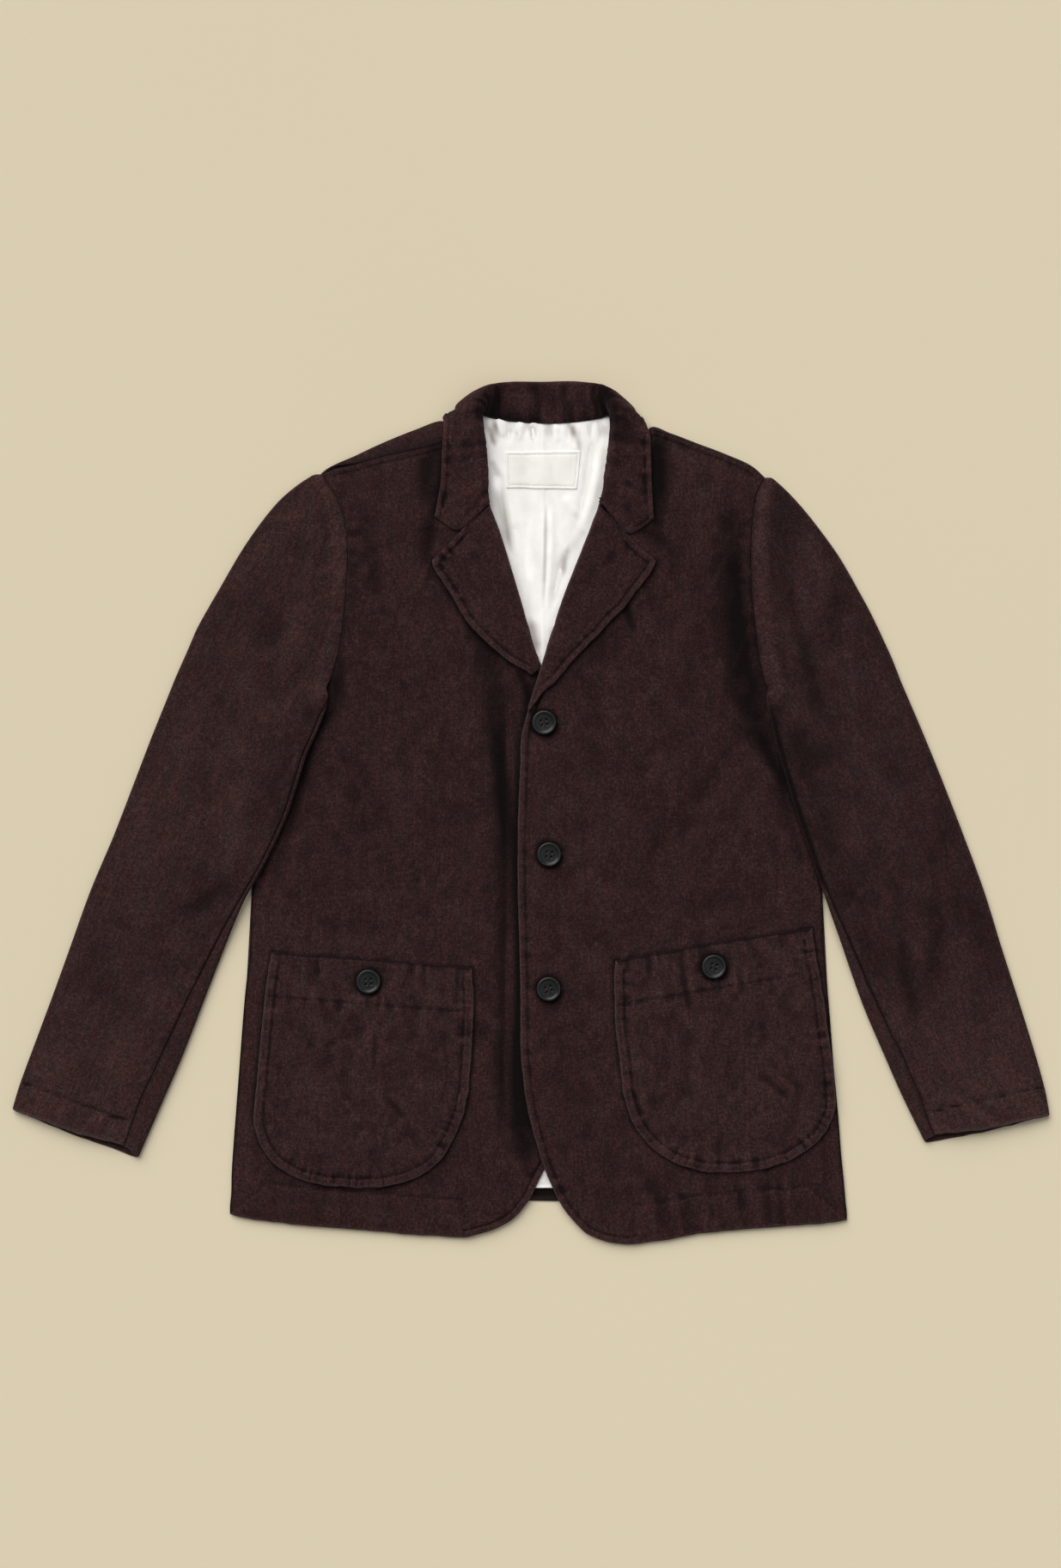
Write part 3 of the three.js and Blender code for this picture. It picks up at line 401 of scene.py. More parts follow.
def noise(x, y, size, seed=0, angle=0.0, stretch=1.0):
    """Smooth noise of about -1 to 1; stretched along angle (degrees)."""
    a = math.radians(angle)
    u = (x * math.cos(a) + y * math.sin(a)) / (size * stretch)
    v = (-x * math.sin(a) + y * math.cos(a)) / size
    iu, iv = np.floor(u), np.floor(v)
    fu, fv = u - iu, v - iv
    su, sv = fu**3 * (fu * (fu * 6 - 15) + 10), fv**3 * (fv * (fv * 6 - 15) + 10)
    a0 = lerp(lattice(iu, iv, seed), lattice(iu + 1, iv, seed), su)
    a1 = lerp(lattice(iu, iv + 1, seed), lattice(iu + 1, iv + 1, seed), su)
    return lerp(a0, a1, sv)


def crinkles(x, y, amount, seed):
    """The cloth's own unevenness: small dents and soft waves in every direction, mostly up and down."""
    z = 0.55 * noise(x, y, 34, seed, 78, 1.8) + 0.35 * noise(x, y, 21, seed + 1, 20, 1.3)
    z = z + 0.34 * noise(x, y, 13, seed + 2, 100, 1.6) + 0.24 * noise(x, y, 7.5, seed + 3, 60, 1.4)
    sharp = 1 - np.abs(noise(x, y, 24, seed + 4, 65, 1.9)) * 2.4
    sharp2 = 1 - np.abs(noise(x, y, 19, seed + 5, 130, 1.7)) * 2.4
    where = smooth(noise(x, y, 55, seed + 6) * 1.2 + 0.45)
    return amount * (z + 0.5 * where * np.clip(sharp, 0, 1) + 0.35 * (1 - where) * np.clip(sharp2, 0, 1))


class Field:
    """Heights on a square raster, read between its points."""

    def __init__(self, box, step=2.0):
        self.x0, self.y0, x1, y1 = box
        self.step = step
        self.nx, self.ny = int((x1 - self.x0) / step) + 2, int((y1 - self.y0) / step) + 2
        self.x = self.x0 + np.arange(self.nx) * step
        self.y = self.y0 + np.arange(self.ny) * step
        self.X, self.Y = np.meshgrid(self.x, self.y)
        self.Z = np.zeros((self.ny, self.nx))

    def __call__(self, x, y):
        u = np.clip((np.asarray(x) - self.x0) / self.step, 0, self.nx - 1.001)
        v = np.clip((np.asarray(y) - self.y0) / self.step, 0, self.ny - 1.001)
        i, j = u.astype(int), v.astype(int)
        fu, fv = u - i, v - j
        Z = self.Z
        return (Z[j, i] * (1 - fu) * (1 - fv) + Z[j, i + 1] * fu * (1 - fv)
                + Z[j + 1, i] * (1 - fu) * fv + Z[j + 1, i + 1] * fu * fv)

    def blur(self, sigma):
        s = sigma / self.step
        r = max(1, int(3 * s))
        k = np.exp(-0.5 * (np.arange(-r, r + 1) / s) ** 2)
        k /= k.sum()
        for axis in (0, 1):
            pad = [(0, 0), (0, 0)]
            pad[axis] = (r, r)
            Zp = np.pad(self.Z, pad, mode="edge")
            self.Z = sum(w * (Zp[i:i + self.ny, :] if axis == 0 else Zp[:, i:i + self.nx]) for i, w in enumerate(k))
        return self

    def reach(self, radius):
        """Each height becomes the highest within radius."""
        r = int(round(radius / self.step))
        Zp = np.pad(self.Z, r, mode="edge")
        out = self.Z.copy()
        for a in range(-r, r + 1):
            for b in range(-r, r + 1):
                if a * a + b * b <= r * r + 0.5:
                    out = np.maximum(out, Zp[r + a:r + a + self.ny, r + b:r + b + self.nx])
        self.Z = out
        return self

    def fill(self, empty):
        """Cells that are empty take their neighbours' mean, from the rim outwards."""
        Z = np.where(empty, 0.0, self.Z)
        known = ~empty
        for _ in range(400):
            if known.all():
                break
            Zp, Kp = np.pad(Z * known, 1), np.pad(known.astype(float), 1)
            total = Zp[:-2, 1:-1] + Zp[2:, 1:-1] + Zp[1:-1, :-2] + Zp[1:-1, 2:]
            count = Kp[:-2, 1:-1] + Kp[2:, 1:-1] + Kp[1:-1, :-2] + Kp[1:-1, 2:]
            new = (~known) & (count > 0)
            Z[new] = total[new] / count[new]
            known = known | new
        self.Z = Z
        return self


def grid_faces(n, m):
    i, j = np.meshgrid(np.arange(n - 1), np.arange(m - 1), indexing="ij")
    a = (i * m + j).ravel()
    return np.concatenate([np.stack([a, a + m, a + m + 1], 1), np.stack([a, a + m + 1, a + 1], 1)])


def field_of_grid(G, box, step=2.0):
    """The upper surface of a grid of points as a Field."""
    V = G.reshape(-1, 3)
    tree = BVHTree.FromPolygons([tuple(v) for v in V], [tuple(int(k) for k in f) for f in grid_faces(*G.shape[:2])])
    f = Field(box, step)
    down = Vector((0, 0, -1))
    Z = np.full(f.X.size, np.nan)
    for k, (x, y) in enumerate(zip(f.X.ravel(), f.Y.ravel())):
        hit = tree.ray_cast(Vector((x, y, 60.0)), down)
        if hit[0] is not None:
            Z[k] = hit[0].z
    f.Z = Z.reshape(f.X.shape)
    return f.fill(np.isnan(f.Z))


def at_least(z, low, soft=0.45):
    """z, rounded off so that it doesn't sink under low."""
    return low + soft * np.logaddexp(0, (z - low) / soft)


def wide(table):
    return [row for row in table if row[6] >= 5]


def strokes(x, y, table):
    """Folds drawn as bent lines on the chart: c0 r0 c1 r1 c2 r2 width depth sharpness; soft at both ends."""
    z = np.zeros_like(x)
    for c0, r0, c1, r1, c2, r2, width, depth, sharp in table:
        (x0, x1, x2), (y0, y1, y2) = chart([c0, c1, c2], [r0, r1, r2])
        reach = 2.6 * width
        m = ((x > min(x0, x1, x2) - reach) & (x < max(x0, x1, x2) + reach)
             & (y > min(y0, y1, y2) - reach) & (y < max(y0, y1, y2) + reach))
        if not m.any():
            continue
        X, Y = x[m], y[m]
        t = np.linspace(0, 1, 13)
        mx, my = 2 * x1 - (x0 + x2) / 2, 2 * y1 - (y0 + y2) / 2
        qx = (1 - t) ** 2 * x0 + 2 * t * (1 - t) * mx + t * t * x2
        qy = (1 - t) ** 2 * y0 + 2 * t * (1 - t) * my + t * t * y2
        best, where = np.full(X.shape, 1e9), np.zeros(X.shape)
        for k in range(12):
            dx, dy = qx[k + 1] - qx[k], qy[k + 1] - qy[k]
            s = np.clip(((X - qx[k]) * dx + (Y - qy[k]) * dy) / (dx * dx + dy * dy + 1e-9), 0, 1)
            d = np.hypot(X - qx[k] - s * dx, Y - qy[k] - s * dy)
            near = d < best
            best[near] = d[near]
            where[near] = (k + s[near]) / 12
        ends = smooth(where * 3.2) * smooth((1 - where) * 3.2)
        wide = width * (0.55 + 0.45 * ends)
        z[m] += depth * ends * np.exp(-np.abs(best / wide) ** sharp)
    return z


def shadows(x, y, table):
    """Painted shade along long soft folds: each a list of c r width amount, changing smoothly along its length."""
    out = np.zeros(x.shape)
    for line in table:
        q = np.array(line, float)
        px, py = chart(q[:, 0], q[:, 1])
        P = spline(np.column_stack([px, py, q[:, 2:]]), 4.0)
        m = ((x > P[:, 0].min() - 34) & (x < P[:, 0].max() + 34) & (y > P[:, 1].min() - 34) & (y < P[:, 1].max() + 34))
        if not m.any():
            continue
        X, Y = x[m], y[m]
        best, amount = np.full(X.shape, 1e9), np.zeros(X.shape)
        for a, b in zip(P[:-1], P[1:]):
            dx, dy = b[0] - a[0], b[1] - a[1]
            s = np.clip(((X - a[0]) * dx + (Y - a[1]) * dy) / (dx * dx + dy * dy + 1e-9), 0, 1)
            w = lerp(a[2], b[2], s)
            d = np.hypot(X - a[0] - s * dx, Y - a[1] - s * dy) / w
            near = d < best
            best[near] = d[near]
            amount[near] = lerp(a[3], b[3], s)[near]
        v = np.zeros(x.shape)
        v[m] = amount * np.exp(-best ** 1.9)
        out = out + v
    return out


def beside(x, y, P, width, amount):
    """Painted contact shadow: how much darker the cloth is painted right beside a line, where another piece lies on it.
    """
    P = resample(np.asarray(P, float)[:, :2], 2.0)
    out = np.zeros(x.shape)
    m = (x > P[:, 0].min() - 9) & (x < P[:, 0].max() + 9) & (y > P[:, 1].min() - 9) & (y < P[:, 1].max() + 9)
    if m.any():
        X, Y = x[m], y[m]
        best = np.full(X.shape, 1e9)
        for (ax, ay), (bx, by) in zip(P[:-1], P[1:]):
            dx, dy = bx - ax, by - ay
            s = np.clip(((X - ax) * dx + (Y - ay) * dy) / (dx * dx + dy * dy + 1e-9), 0, 1)
            best = np.minimum(best, np.hypot(X - ax - s * dx, Y - ay - s * dy))
        out[m] = amount * np.exp(-(best / width) ** 1.7)
    return out


# ---- outlines and shells --------------------------------------------------------------------------------------


class Outline:
    """A closed outline of named sides. near() gives distance, length along the outline and side."""

    def __init__(self, sides, step=1.8):
        pts, side = [], []
        self.names = [n for n, _ in sides]
        for k, (_, P) in enumerate(sides):
            Q = resample(np.asarray(P, float)[:, :2], step)[:-1]
            pts.append(Q)
            side += [k] * len(Q)
        p, side = np.concatenate(pts), np.array(side)
        q = np.roll(p, -1, 0)
        if (p[:, 0] * q[:, 1] - q[:, 0] * p[:, 1]).sum() < 0:
            n = len(p)
            p, side = p[::-1].copy(), side[(n - 2 - np.arange(n)) % n]
        self.p, self.side = p, side
        self.q = np.roll(p, -1, 0)
        e = self.q - p
        self.len = np.linalg.norm(e, axis=1)
        self.s = np.r_[0, np.cumsum(self.len)[:-1]]
        t = e / self.len[:, None]
        nrm = np.stack([-t[:, 1], t[:, 0]], 1)
        v = nrm + np.roll(nrm, 1, 0)
        self.n = v / np.maximum(np.linalg.norm(v, axis=1), 1e-6)[:, None]
        self.tree = KDTree(len(p))
        for k, (x, y) in enumerate(p):
            self.tree.insert((x, y, 0), k)
        self.tree.balance()

    def near(self, x, y):
        find = self.tree.find
        k = np.array([find((a, b, 0))[1] for a, b in zip(np.ravel(x), np.ravel(y))])
        best = None
        for i in ((k - 1) % len(self.p), k):
            a, e = self.p[i], self.q[i] - self.p[i]
            w = np.stack([np.ravel(x), np.ravel(y)], 1) - a
            t = np.clip((w * e).sum(1) / (e * e).sum(1), 0, 1)
            d = np.linalg.norm(w - e * t[:, None], axis=1)
            s = self.s[i] + t * self.len[i]
            if best is None:
                best = (d, s, i)
            else:
                c = d < best[0] - 1e-9
                best = (np.where(c, d, best[0]), np.where(c, s, best[1]), np.where(c, i, best[2]))
        return best[0], best[1], self.side[best[2]]

    def inside(self, x, y):
        out = np.zeros(len(x), bool)
        ax, ay, bx, by = self.p[:, 0], self.p[:, 1], self.q[:, 0], self.q[:, 1]
        slope = (bx - ax) / np.where(np.abs(by - ay) < 1e-12, 1e-12, by - ay)
        for c in range(0, len(x), 6000):
            X, Y = x[c:c + 6000, None], y[c:c + 6000, None]
            cross = ((ay > Y) != (by > Y)) & (X < ax + (Y - ay) * slope)
            out[c:c + 6000] = cross.sum(1) % 2 == 1
        return out

    def spot(self, side, inset, t0=0.0, t1=1.0, step=1.0):
        """Points along a side, moved in by inset, between two shares of its length."""
        k = np.where(self.side == self.names.index(side))[0]
        gap = np.where(np.diff(k) > 1)[0]
        if len(gap):
            k = np.r_[k[gap[0] + 1:], k[:gap[0] + 1]]
        p = self.p[k] + self.n[k] * inset
        d, _, _ = self.near(p[:, 0], p[:, 1])
        p = p[d > inset - 0.12]
        L = np.r_[0, np.cumsum(np.linalg.norm(np.diff(p, axis=0), axis=1))]
        t = np.linspace(t0 * L[-1], t1 * L[-1], max(2, int(abs(t1 - t0) * L[-1] / step)))
        return np.stack([np.interp(t, L, p[:, 0]), np.interp(t, L, p[:, 1])], 1)


FINE_ROWS = (0.22, 0.55, 1.0, 1.8, 2.9, 4.1, 5.2, 6.2, 7.0, 7.9, 9.2, 10.9, 13.0)
COARSE_ROWS = (0.22, 0.55, 1.0, 2.4, 5.0)


def triangulate(outline, rims, h, dense=None):
    """Points in rows along the outline and a hexagonal field inside, and their triangles."""
    P = [outline.p]
    for d in rims:
        q = outline.p + outline.n * d
        dd, _, _ = outline.near(q[:, 0], q[:, 1])
        q = q[(dd > d * 0.97) & outline.inside(q[:, 0], q[:, 1])]
        P.append(q)
    x0, y0 = outline.p.min(0)
    x1, y1 = outline.p.max(0)
    ys = np.arange(y0, y1, h * 0.866)
    xs = np.arange(x0, x1, h)
    X, Y = np.meshgrid(xs, ys)
    X = X + (np.arange(len(ys)) % 2)[:, None] * h / 2
    X, Y = X.ravel(), Y.ravel()
    if dense is not None:
        u0, v0, u1, v1, g = dense
        out = (X < u0) | (X > u1) | (Y < v0) | (Y > v1)
        fx, fy = np.meshgrid(np.arange(u0 + h / 2, u1 - h / 2, g), np.arange(v0 + h / 2, v1 - h / 2, g * 0.866))
        fx = fx + (np.arange(len(fx)) % 2)[:, None] * g / 2
        X, Y = np.r_[X[out], fx.ravel()], np.r_[Y[out], fy.ravel()]
    k = outline.inside(X, Y)
    X, Y = X[k], Y[k]
    dd, _, _ = outline.near(X, Y)
    k = dd > rims[-1] + (h if dense is None else dense[4]) * 0.55
    P.append(np.stack([X[k], Y[k]], 1))
    P = np.concatenate(P)
    n = len(outline.p)
    edges = [(i, (i + 1) % n) for i in range(n)]
    V, _, F, ov, _, _ = delaunay_2d_cdt([Vector(p) for p in P], edges, [], 0, 1e-5, True)
    V = np.array([(v[0], v[1]) for v in V])
    F = np.array([f[:] for f in F if len(f) == 3], int)
    rim = np.full(len(V), -1)
    for j, src in enumerate(ov):
        for i in src:
            if i < n:
                rim[j] = i
    c = V[F].mean(1)
    F = F[outline.inside(c[:, 0], c[:, 1])]
    a, b, d = V[F[:, 0]], V[F[:, 1]], V[F[:, 2]]
    turn = (b[:, 0] - a[:, 0]) * (d[:, 1] - a[:, 1]) - (b[:, 1] - a[:, 1]) * (d[:, 0] - a[:, 0]) < 0
    F[turn] = F[turn][:, ::-1]
    return V, F, rim


def make(name, V, F, material, nodes=(), grain=None, edge=None, relief_and_painted_shading=None):
    """A mesh piece from points in millimetres; it rides on the body and stands for its CAD nodes."""
    me = bpy.data.meshes.new(name)
    F = np.asarray(F, np.int32)
    me.vertices.add(len(V))
    me.vertices.foreach_set("co", (np.asarray(V) * 0.001).astype(np.float32).ravel())
    me.loops.add(F.size)
    me.loops.foreach_set("vertex_index", F.ravel())
    me.polygons.add(len(F))
    me.polygons.foreach_set("loop_start", np.arange(0, F.size, 3, dtype=np.int32))
    me.update(calc_edges=True)
    me.validate()
    me.shade_smooth()
    g = me.attributes.new("grain", "FLOAT_VECTOR", "POINT")
    g.data.foreach_set("vector", (np.asarray(V if grain is None else grain)).astype(np.float32).ravel())
    e = me.attributes.new("edge", "FLOAT", "POINT")
    e.data.foreach_set("value", (np.zeros(len(V)) if edge is None else edge).astype(np.float32))
    # attribute of painted shading, which the materials read to darken or lighten the colour
    e = me.attributes.new("relief_and_painted_shading", "FLOAT", "POINT")
    e.data.foreach_set("value", (np.zeros(len(V)) if relief_and_painted_shading is None else relief_and_painted_shading).astype(np.float32))
    me.materials.append(material)
    o = bpy.data.objects.new(name, me)
    scene.collection.objects.link(o)
    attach(o, "root")
    if nodes:
        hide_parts(*nodes)
    return o


def grain_of(V, angle=0.0, shift=(0, 0)):
    a = math.radians(angle)
    x, y = V[:, 0] - shift[0], V[:, 1] - shift[1]
    return np.stack([x * math.cos(a) - y * math.sin(a), x * math.sin(a) + y * math.cos(a), V[:, 2]], 1)


def smoothed(z, F, rounds=24):
    """Heights averaged along the mesh's edges, again and again."""
    E = np.concatenate([F[:, [0, 1]], F[:, [1, 2]], F[:, [2, 0]]])
    n = len(z)
    deg = np.maximum(np.bincount(E[:, 0], minlength=n) + np.bincount(E[:, 1], minlength=n), 1)
    for _ in range(rounds):
        s = np.bincount(E[:, 0], weights=z[E[:, 1]], minlength=n) + np.bincount(E[:, 1], weights=z[E[:, 0]], minlength=n)
        z = 0.4 * z + 0.6 * s / deg
    return z


def shell(name, outline, top, thick, material, nodes, h=3.0, under=6.0, rims=FINE_ROWS, radius=1.0,
          angle=0.0, shift=(0, 0), bottom=None, tone=None, worn_and_rim_lit=None, broad=None,
          dense=None, gain=0.62, tight=()):
    """A closed panel: top(x, y, d, s, side) is its upper face, thick its ply; the rim is rounded."""
    V, F, rim = triangulate(outline, rims, h, dense)
    B, G, brim = triangulate(outline, COARSE_ROWS, under)
    n = len(outline.p)
    d, s, side = outline.near(V[:, 0], V[:, 1])
    zt = top(V[:, 0], V[:, 1], d, s, side)
    db, sb, sideb = outline.near(B[:, 0], B[:, 1])
    zb = (bottom or (lambda x, y, d, s, side: top(x, y, np.maximum(d, 3.0), s, side) - thick))(B[:, 0], B[:, 1], db, sb, sideb)
    mid = np.zeros(n)
    it = rim >= 0
    mid[rim[it]] = zt[it]
    zr = np.zeros(n)
    ib = brim >= 0
    zr[brim[ib]] = zb[ib]
    mid = (mid + np.minimum(zr, mid - 0.6)) / 2
    # painted shading: the piece's small relief (its height over its smoothed height) and its tone become an attribute
    # that darkens the colour in hollows and lightens it on ridges
    fine = zt if broad is None else zt - broad(V[:, 0], V[:, 1])
    fine = fine - smoothed(fine, F)
    relief_and_painted_shading = gain * fine / (0.28 + np.abs(fine))
    if tone is not None:
        relief_and_painted_shading = relief_and_painted_shading + tone(V[:, 0], V[:, 1], d, side)
    relief_and_painted_shading = np.clip(relief_and_painted_shading, -1, 1)
    # rounding: heights run from the rim's middle to the faces over the radius
    sharp = np.array([q in tight for q in outline.names])
    rt = np.where(sharp[side], 0.35, radius)
    kt = np.sqrt(np.clip(1 - (1 - np.minimum(d / rt, 1)) ** 2, 0, 1))
    kb = np.sqrt(np.clip(1 - (1 - np.minimum(db / radius, 1)) ** 2, 0, 1))
    near_rim = outline.tree
    jt = np.array([near_rim.find((a, b, 0))[1] for a, b in V])
    jb = np.array([near_rim.find((a, b, 0))[1] for a, b in B])
    zt = np.where(d < rt, mid[jt] + (zt - mid[jt]) * kt, zt)
    zb = np.where(db < radius, mid[jb] + (zb - mid[jb]) * kb, zb)
    top_id = np.where(it, rim, 0)
    top_id[~it] = n + np.arange((~it).sum())
    bot_id = np.where(ib, brim, 0)
    bot_id[~ib] = n + (~it).sum() + np.arange((~ib).sum())
    P = np.concatenate([np.column_stack([outline.p, mid]), np.column_stack([V[~it], zt[~it]]), np.column_stack([B[~ib], zb[~ib]])])
    faces = np.concatenate([top_id[F], bot_id[G][:, ::-1]])
    # sides whose edges are lighter: part wear, part a painted rim highlight
    keen = np.ones(len(outline.names)) if worn_and_rim_lit is None else np.array([1.0 if q in worn_and_rim_lit else 0.0 for q in outline.names])
    edge = np.concatenate([keen[outline.side], np.exp(-(d[~it] / 1.3) ** 2) * keen[side[~it]], np.exp(-(db[~ib] / 1.3) ** 2) * keen[sideb[~ib]]])
    rel = np.zeros(n)
    rel[rim[it]] = relief_and_painted_shading[it]
    relief_and_painted_shading = np.concatenate([rel, relief_and_painted_shading[~it], np.zeros((~ib).sum())])
    o = make(name, P, faces, material, nodes, grain_of(P, angle, shift), edge, relief_and_painted_shading)
    return o


def sheet_shell(name, G, thick, side, material, nodes, angle=0.0, shift=(0, 0), radius=0.8, tone=None, worn_and_rim_lit_cols=True, lip=0.0, inside=None):
    """A closed shell from a fine grid of its outer face; the inner face is thick behind it, the rims rounded."""
    n, m, _ = G.shape
    du = np.gradient(G, axis=0)
    dv = np.gradient(G, axis=1)
    N = np.cross(du, dv)
    N /= np.maximum(np.linalg.norm(N, axis=2), 1e-9)[:, :, None]
    # distance from the rim along rows and columns
    lr = np.concatenate([np.zeros((1, m)), np.cumsum(np.linalg.norm(np.diff(G, axis=0), axis=2), axis=0)])
    lc = np.concatenate([np.zeros((n, 1)), np.cumsum(np.linalg.norm(np.diff(G, axis=1), axis=2), axis=1)], axis=1)
    rim = np.minimum(np.minimum(lr, lr[-1:] - lr), np.minimum(lc, lc[:, -1:] - lc))
    k = np.sqrt(np.clip(1 - (1 - np.minimum(rim / radius, 1)) ** 2, 0, 1))[:, :, None]
    mid = G + N * side * thick / 2
    outer = mid + (G - mid) * (0.25 + 0.75 * k)
    inner = mid + (G + N * side * thick - mid) * (0.25 + 0.75 * k)
    V = np.concatenate([outer.reshape(-1, 3), inner.reshape(-1, 3)])
    F = grid_faces(n, m)
    nm = n * m
    at = lambda i, j: i * m + j
    faces = [F, F[:, ::-1] + nm]
    loop = ([at(0, j) for j in range(m)] + [at(i, m - 1) for i in range(1, n)]
            + [at(n - 1, j) for j in range(m - 2, -1, -1)] + [at(i, 0) for i in range(n - 2, 0, -1)])
    a = np.array(loop)
    b = np.roll(a, -1)
    faces += [np.stack([a, b, b + nm], 1), np.stack([a, b + nm, a + nm], 1)]
    F = np.concatenate(faces)
    A, B, C = V[F[:, 0]], V[F[:, 1]], V[F[:, 2]]
    if (A * np.cross(B, C)).sum() < 0:
        F = F[:, ::-1]
    # edge lightness, part wear and part painted rim highlight; the lip value adds a painted highlight along the end of
    # the last rows, at the cuff
    near = rim if worn_and_rim_lit_cols else np.minimum(lr, lr[-1:] - lr)
    edge = np.exp(-(near.ravel() / 1.3) ** 2) + lip * np.exp(-((lr[-1:] - lr).ravel() / 1.7) ** 2)
    relief_and_painted_shading = np.zeros(n * m) if tone is None else np.clip(tone, -1, 1).ravel()
    return make(name, V, F, material, nodes, grain_of(V, angle, shift), np.concatenate([edge, edge]), np.concatenate([relief_and_painted_shading, relief_and_painted_shading * 0 if inside is None else inside.ravel()]))


# ---- materials ------------------------------------------------------------------------------------------------
def material(name):
    m = bpy.data.materials.new(name)
    m.use_nodes = True
    nt = m.node_tree
    return m, nt, nt.nodes["Principled BSDF"]


def grain_noise(nt, size, detail=2.0, rough=0.55, offset=0.0):
    """Noise on the cloth's own axes; size is the length of a spot in mm along x, y, z of the grain."""
    a = nt.nodes.new("ShaderNodeAttribute")
    a.attribute_name = "grain"
    mp = nt.nodes.new("ShaderNodeMapping")
    mp.inputs["Scale"].default_value = tuple(1 / s for s in size)
    mp.inputs["Location"].default_value = (offset, offset * 0.7, 0)
    n = nt.nodes.new("ShaderNodeTexNoise")
    n.inputs["Scale"].default_value = 1.0
    n.inputs["Detail"].default_value = detail
    n.inputs["Roughness"].default_value = rough
    nt.links.new(a.outputs["Vector"], mp.inputs["Vector"])
    nt.links.new(mp.outputs["Vector"], n.inputs["Vector"])
    return n.outputs["Fac"]


def math_node(nt, op, a, b=None, c=None):
    n = nt.nodes.new("ShaderNodeMath")
    n.operation = op
    for k, v in enumerate((a, b, c)):
        if v is None:
            continue
        if isinstance(v, (int, float)):
            n.inputs[k].default_value = v
        else:
            nt.links.new(v, n.inputs[k])
    return n.outputs[0]


def ramp(nt, fac, stops):
    n = nt.nodes.new("ShaderNodeValToRGB")
    while len(n.color_ramp.elements) < len(stops):
        n.color_ramp.elements.new(0.5)
    for e, (p, col) in zip(n.color_ramp.elements, stops):
        e.position = p
        e.color = (*col, 1)
    nt.links.new(fac, n.inputs["Fac"])
    return n.outputs["Color"]


def mix_color(nt, fac, a, b, mode="MIX"):
    n = nt.nodes.new("ShaderNodeMix")
    n.data_type = "RGBA"
    n.blend_type = mode
    for socket, v in ((n.inputs[0], fac), (n.inputs[6], a), (n.inputs[7], b)):
        if isinstance(v, (int, float)):
            socket.default_value = v
        elif isinstance(v, tuple):
            socket.default_value = (*v, 1)
        else:
            nt.links.new(v, socket)
    return n.outputs[2]


def bump(nt, height, distance, strength=1.0):
    n = nt.nodes.new("ShaderNodeBump")
    n.inputs["Strength"].default_value = strength
    n.inputs["Distance"].default_value = distance
    nt.links.new(height, n.inputs["Height"])
    return n.outputs["Normal"]


def cloth_material(name, dark, mid, light, warm, cool):
    m, nt, p = material(name)
    warp = grain_noise(nt, (1.8, 4.6, 4.6), 2.5, 0.65)
    weft = grain_noise(nt, (5.0, 1.5, 5.0), 2.0, 0.6, 3.1)
    slub = grain_noise(nt, (3.0, 20.0, 20.0), 2.0, 0.6, 7.7)
    fleck = grain_noise(nt, (1.7, 2.0, 2.0), 2.0, 0.6, 12.3)
    patch = grain_noise(nt, (22.0, 30.0, 26.0), 4.0, 0.65, 21.0)
    hue = grain_noise(nt, (9.0, 16.0, 12.0), 3.0, 0.7, 33.0)
    thread = math_node(nt, "ADD", math_node(nt, "MULTIPLY", warp, 0.30), math_node(nt, "MULTIPLY", weft, 0.18))
    thread = math_node(nt, "ADD", thread, math_node(nt, "MULTIPLY", slub, 0.12))
    thread = math_node(nt, "ADD", thread, math_node(nt, "MULTIPLY", fleck, 0.40))
    tone = math_node(nt, "ADD", thread, math_node(nt, "MULTIPLY", math_node(nt, "SUBTRACT", patch, 0.5), 0.15))
    base = ramp(nt, tone, [(0.39, dark), (0.50, mid), (0.62, light)])
    # painted shading: the attribute of painted shading multiplies the colour, down to dark brown in hollows and painted
    # shade, up to 1.42 times on ridges
    rl = nt.nodes.new("ShaderNodeAttribute")
    rl.attribute_name = "relief_and_painted_shading"
    shade = ramp(nt, math_node(nt, "ADD", math_node(nt, "MULTIPLY", rl.outputs["Fac"], 0.5), 0.5),
                 [(0.0, (0.07, 0.055, 0.05)), (0.25, (0.42, 0.40, 0.39)), (0.5, (1.0, 1.0, 1.0)), (1.0, (1.42, 1.42, 1.42))])
    base = mix_color(nt, 1.0, base, shade, "MULTIPLY")
    tint = ramp(nt, hue, [(0.36, warm), (0.62, cool)])
    base = mix_color(nt, 1.0, base, tint, "MULTIPLY")
    # edges lighter towards a grey brown: partly real wear, partly a painted highlight along the rim
    e = nt.nodes.new("ShaderNodeAttribute")
    e.attribute_name = "edge"
    worn_and_rim_lit = math_node(nt, "MULTIPLY", e.outputs["Fac"], math_node(nt, "ADD", math_node(nt, "MULTIPLY", warp, 0.5), 0.12))
    base = mix_color(nt, worn_and_rim_lit, base, (0.075, 0.056, 0.050))
    nt.links.new(base, p.inputs["Base Color"])
    p.inputs["Roughness"].default_value = 0.93
    p.inputs["Specular IOR Level"].default_value = 0.10
    p.inputs["Sheen Weight"].default_value = 0.12
    p.inputs["Sheen Roughness"].default_value = 0.55
    p.inputs["Sheen Tint"].default_value = (0.60, 0.42, 0.40, 1)
    nt.links.new(bump(nt, thread, 0.0016, 1.0), p.inputs["Normal"])
    return m


CLOTH = cloth_material("cloth", (0.0125, 0.0046, 0.0047), (0.0243, 0.0096, 0.0097), (0.0460, 0.0215, 0.0215),
                       (1.07, 0.96, 0.95), (0.94, 1.03, 1.03))
# a copy of the cloth painted lighter, standing in for more light on the pockets' flat tops
CLOTH_POCKET_PAINTED_LIGHTER = cloth_material("cloth_pocket_painted_lighter", (0.0132, 0.0051, 0.0052), (0.0262, 0.0112, 0.0113), (0.0490, 0.0235, 0.0235),
                              (1.07, 0.96, 0.95), (0.94, 1.03, 1.03))


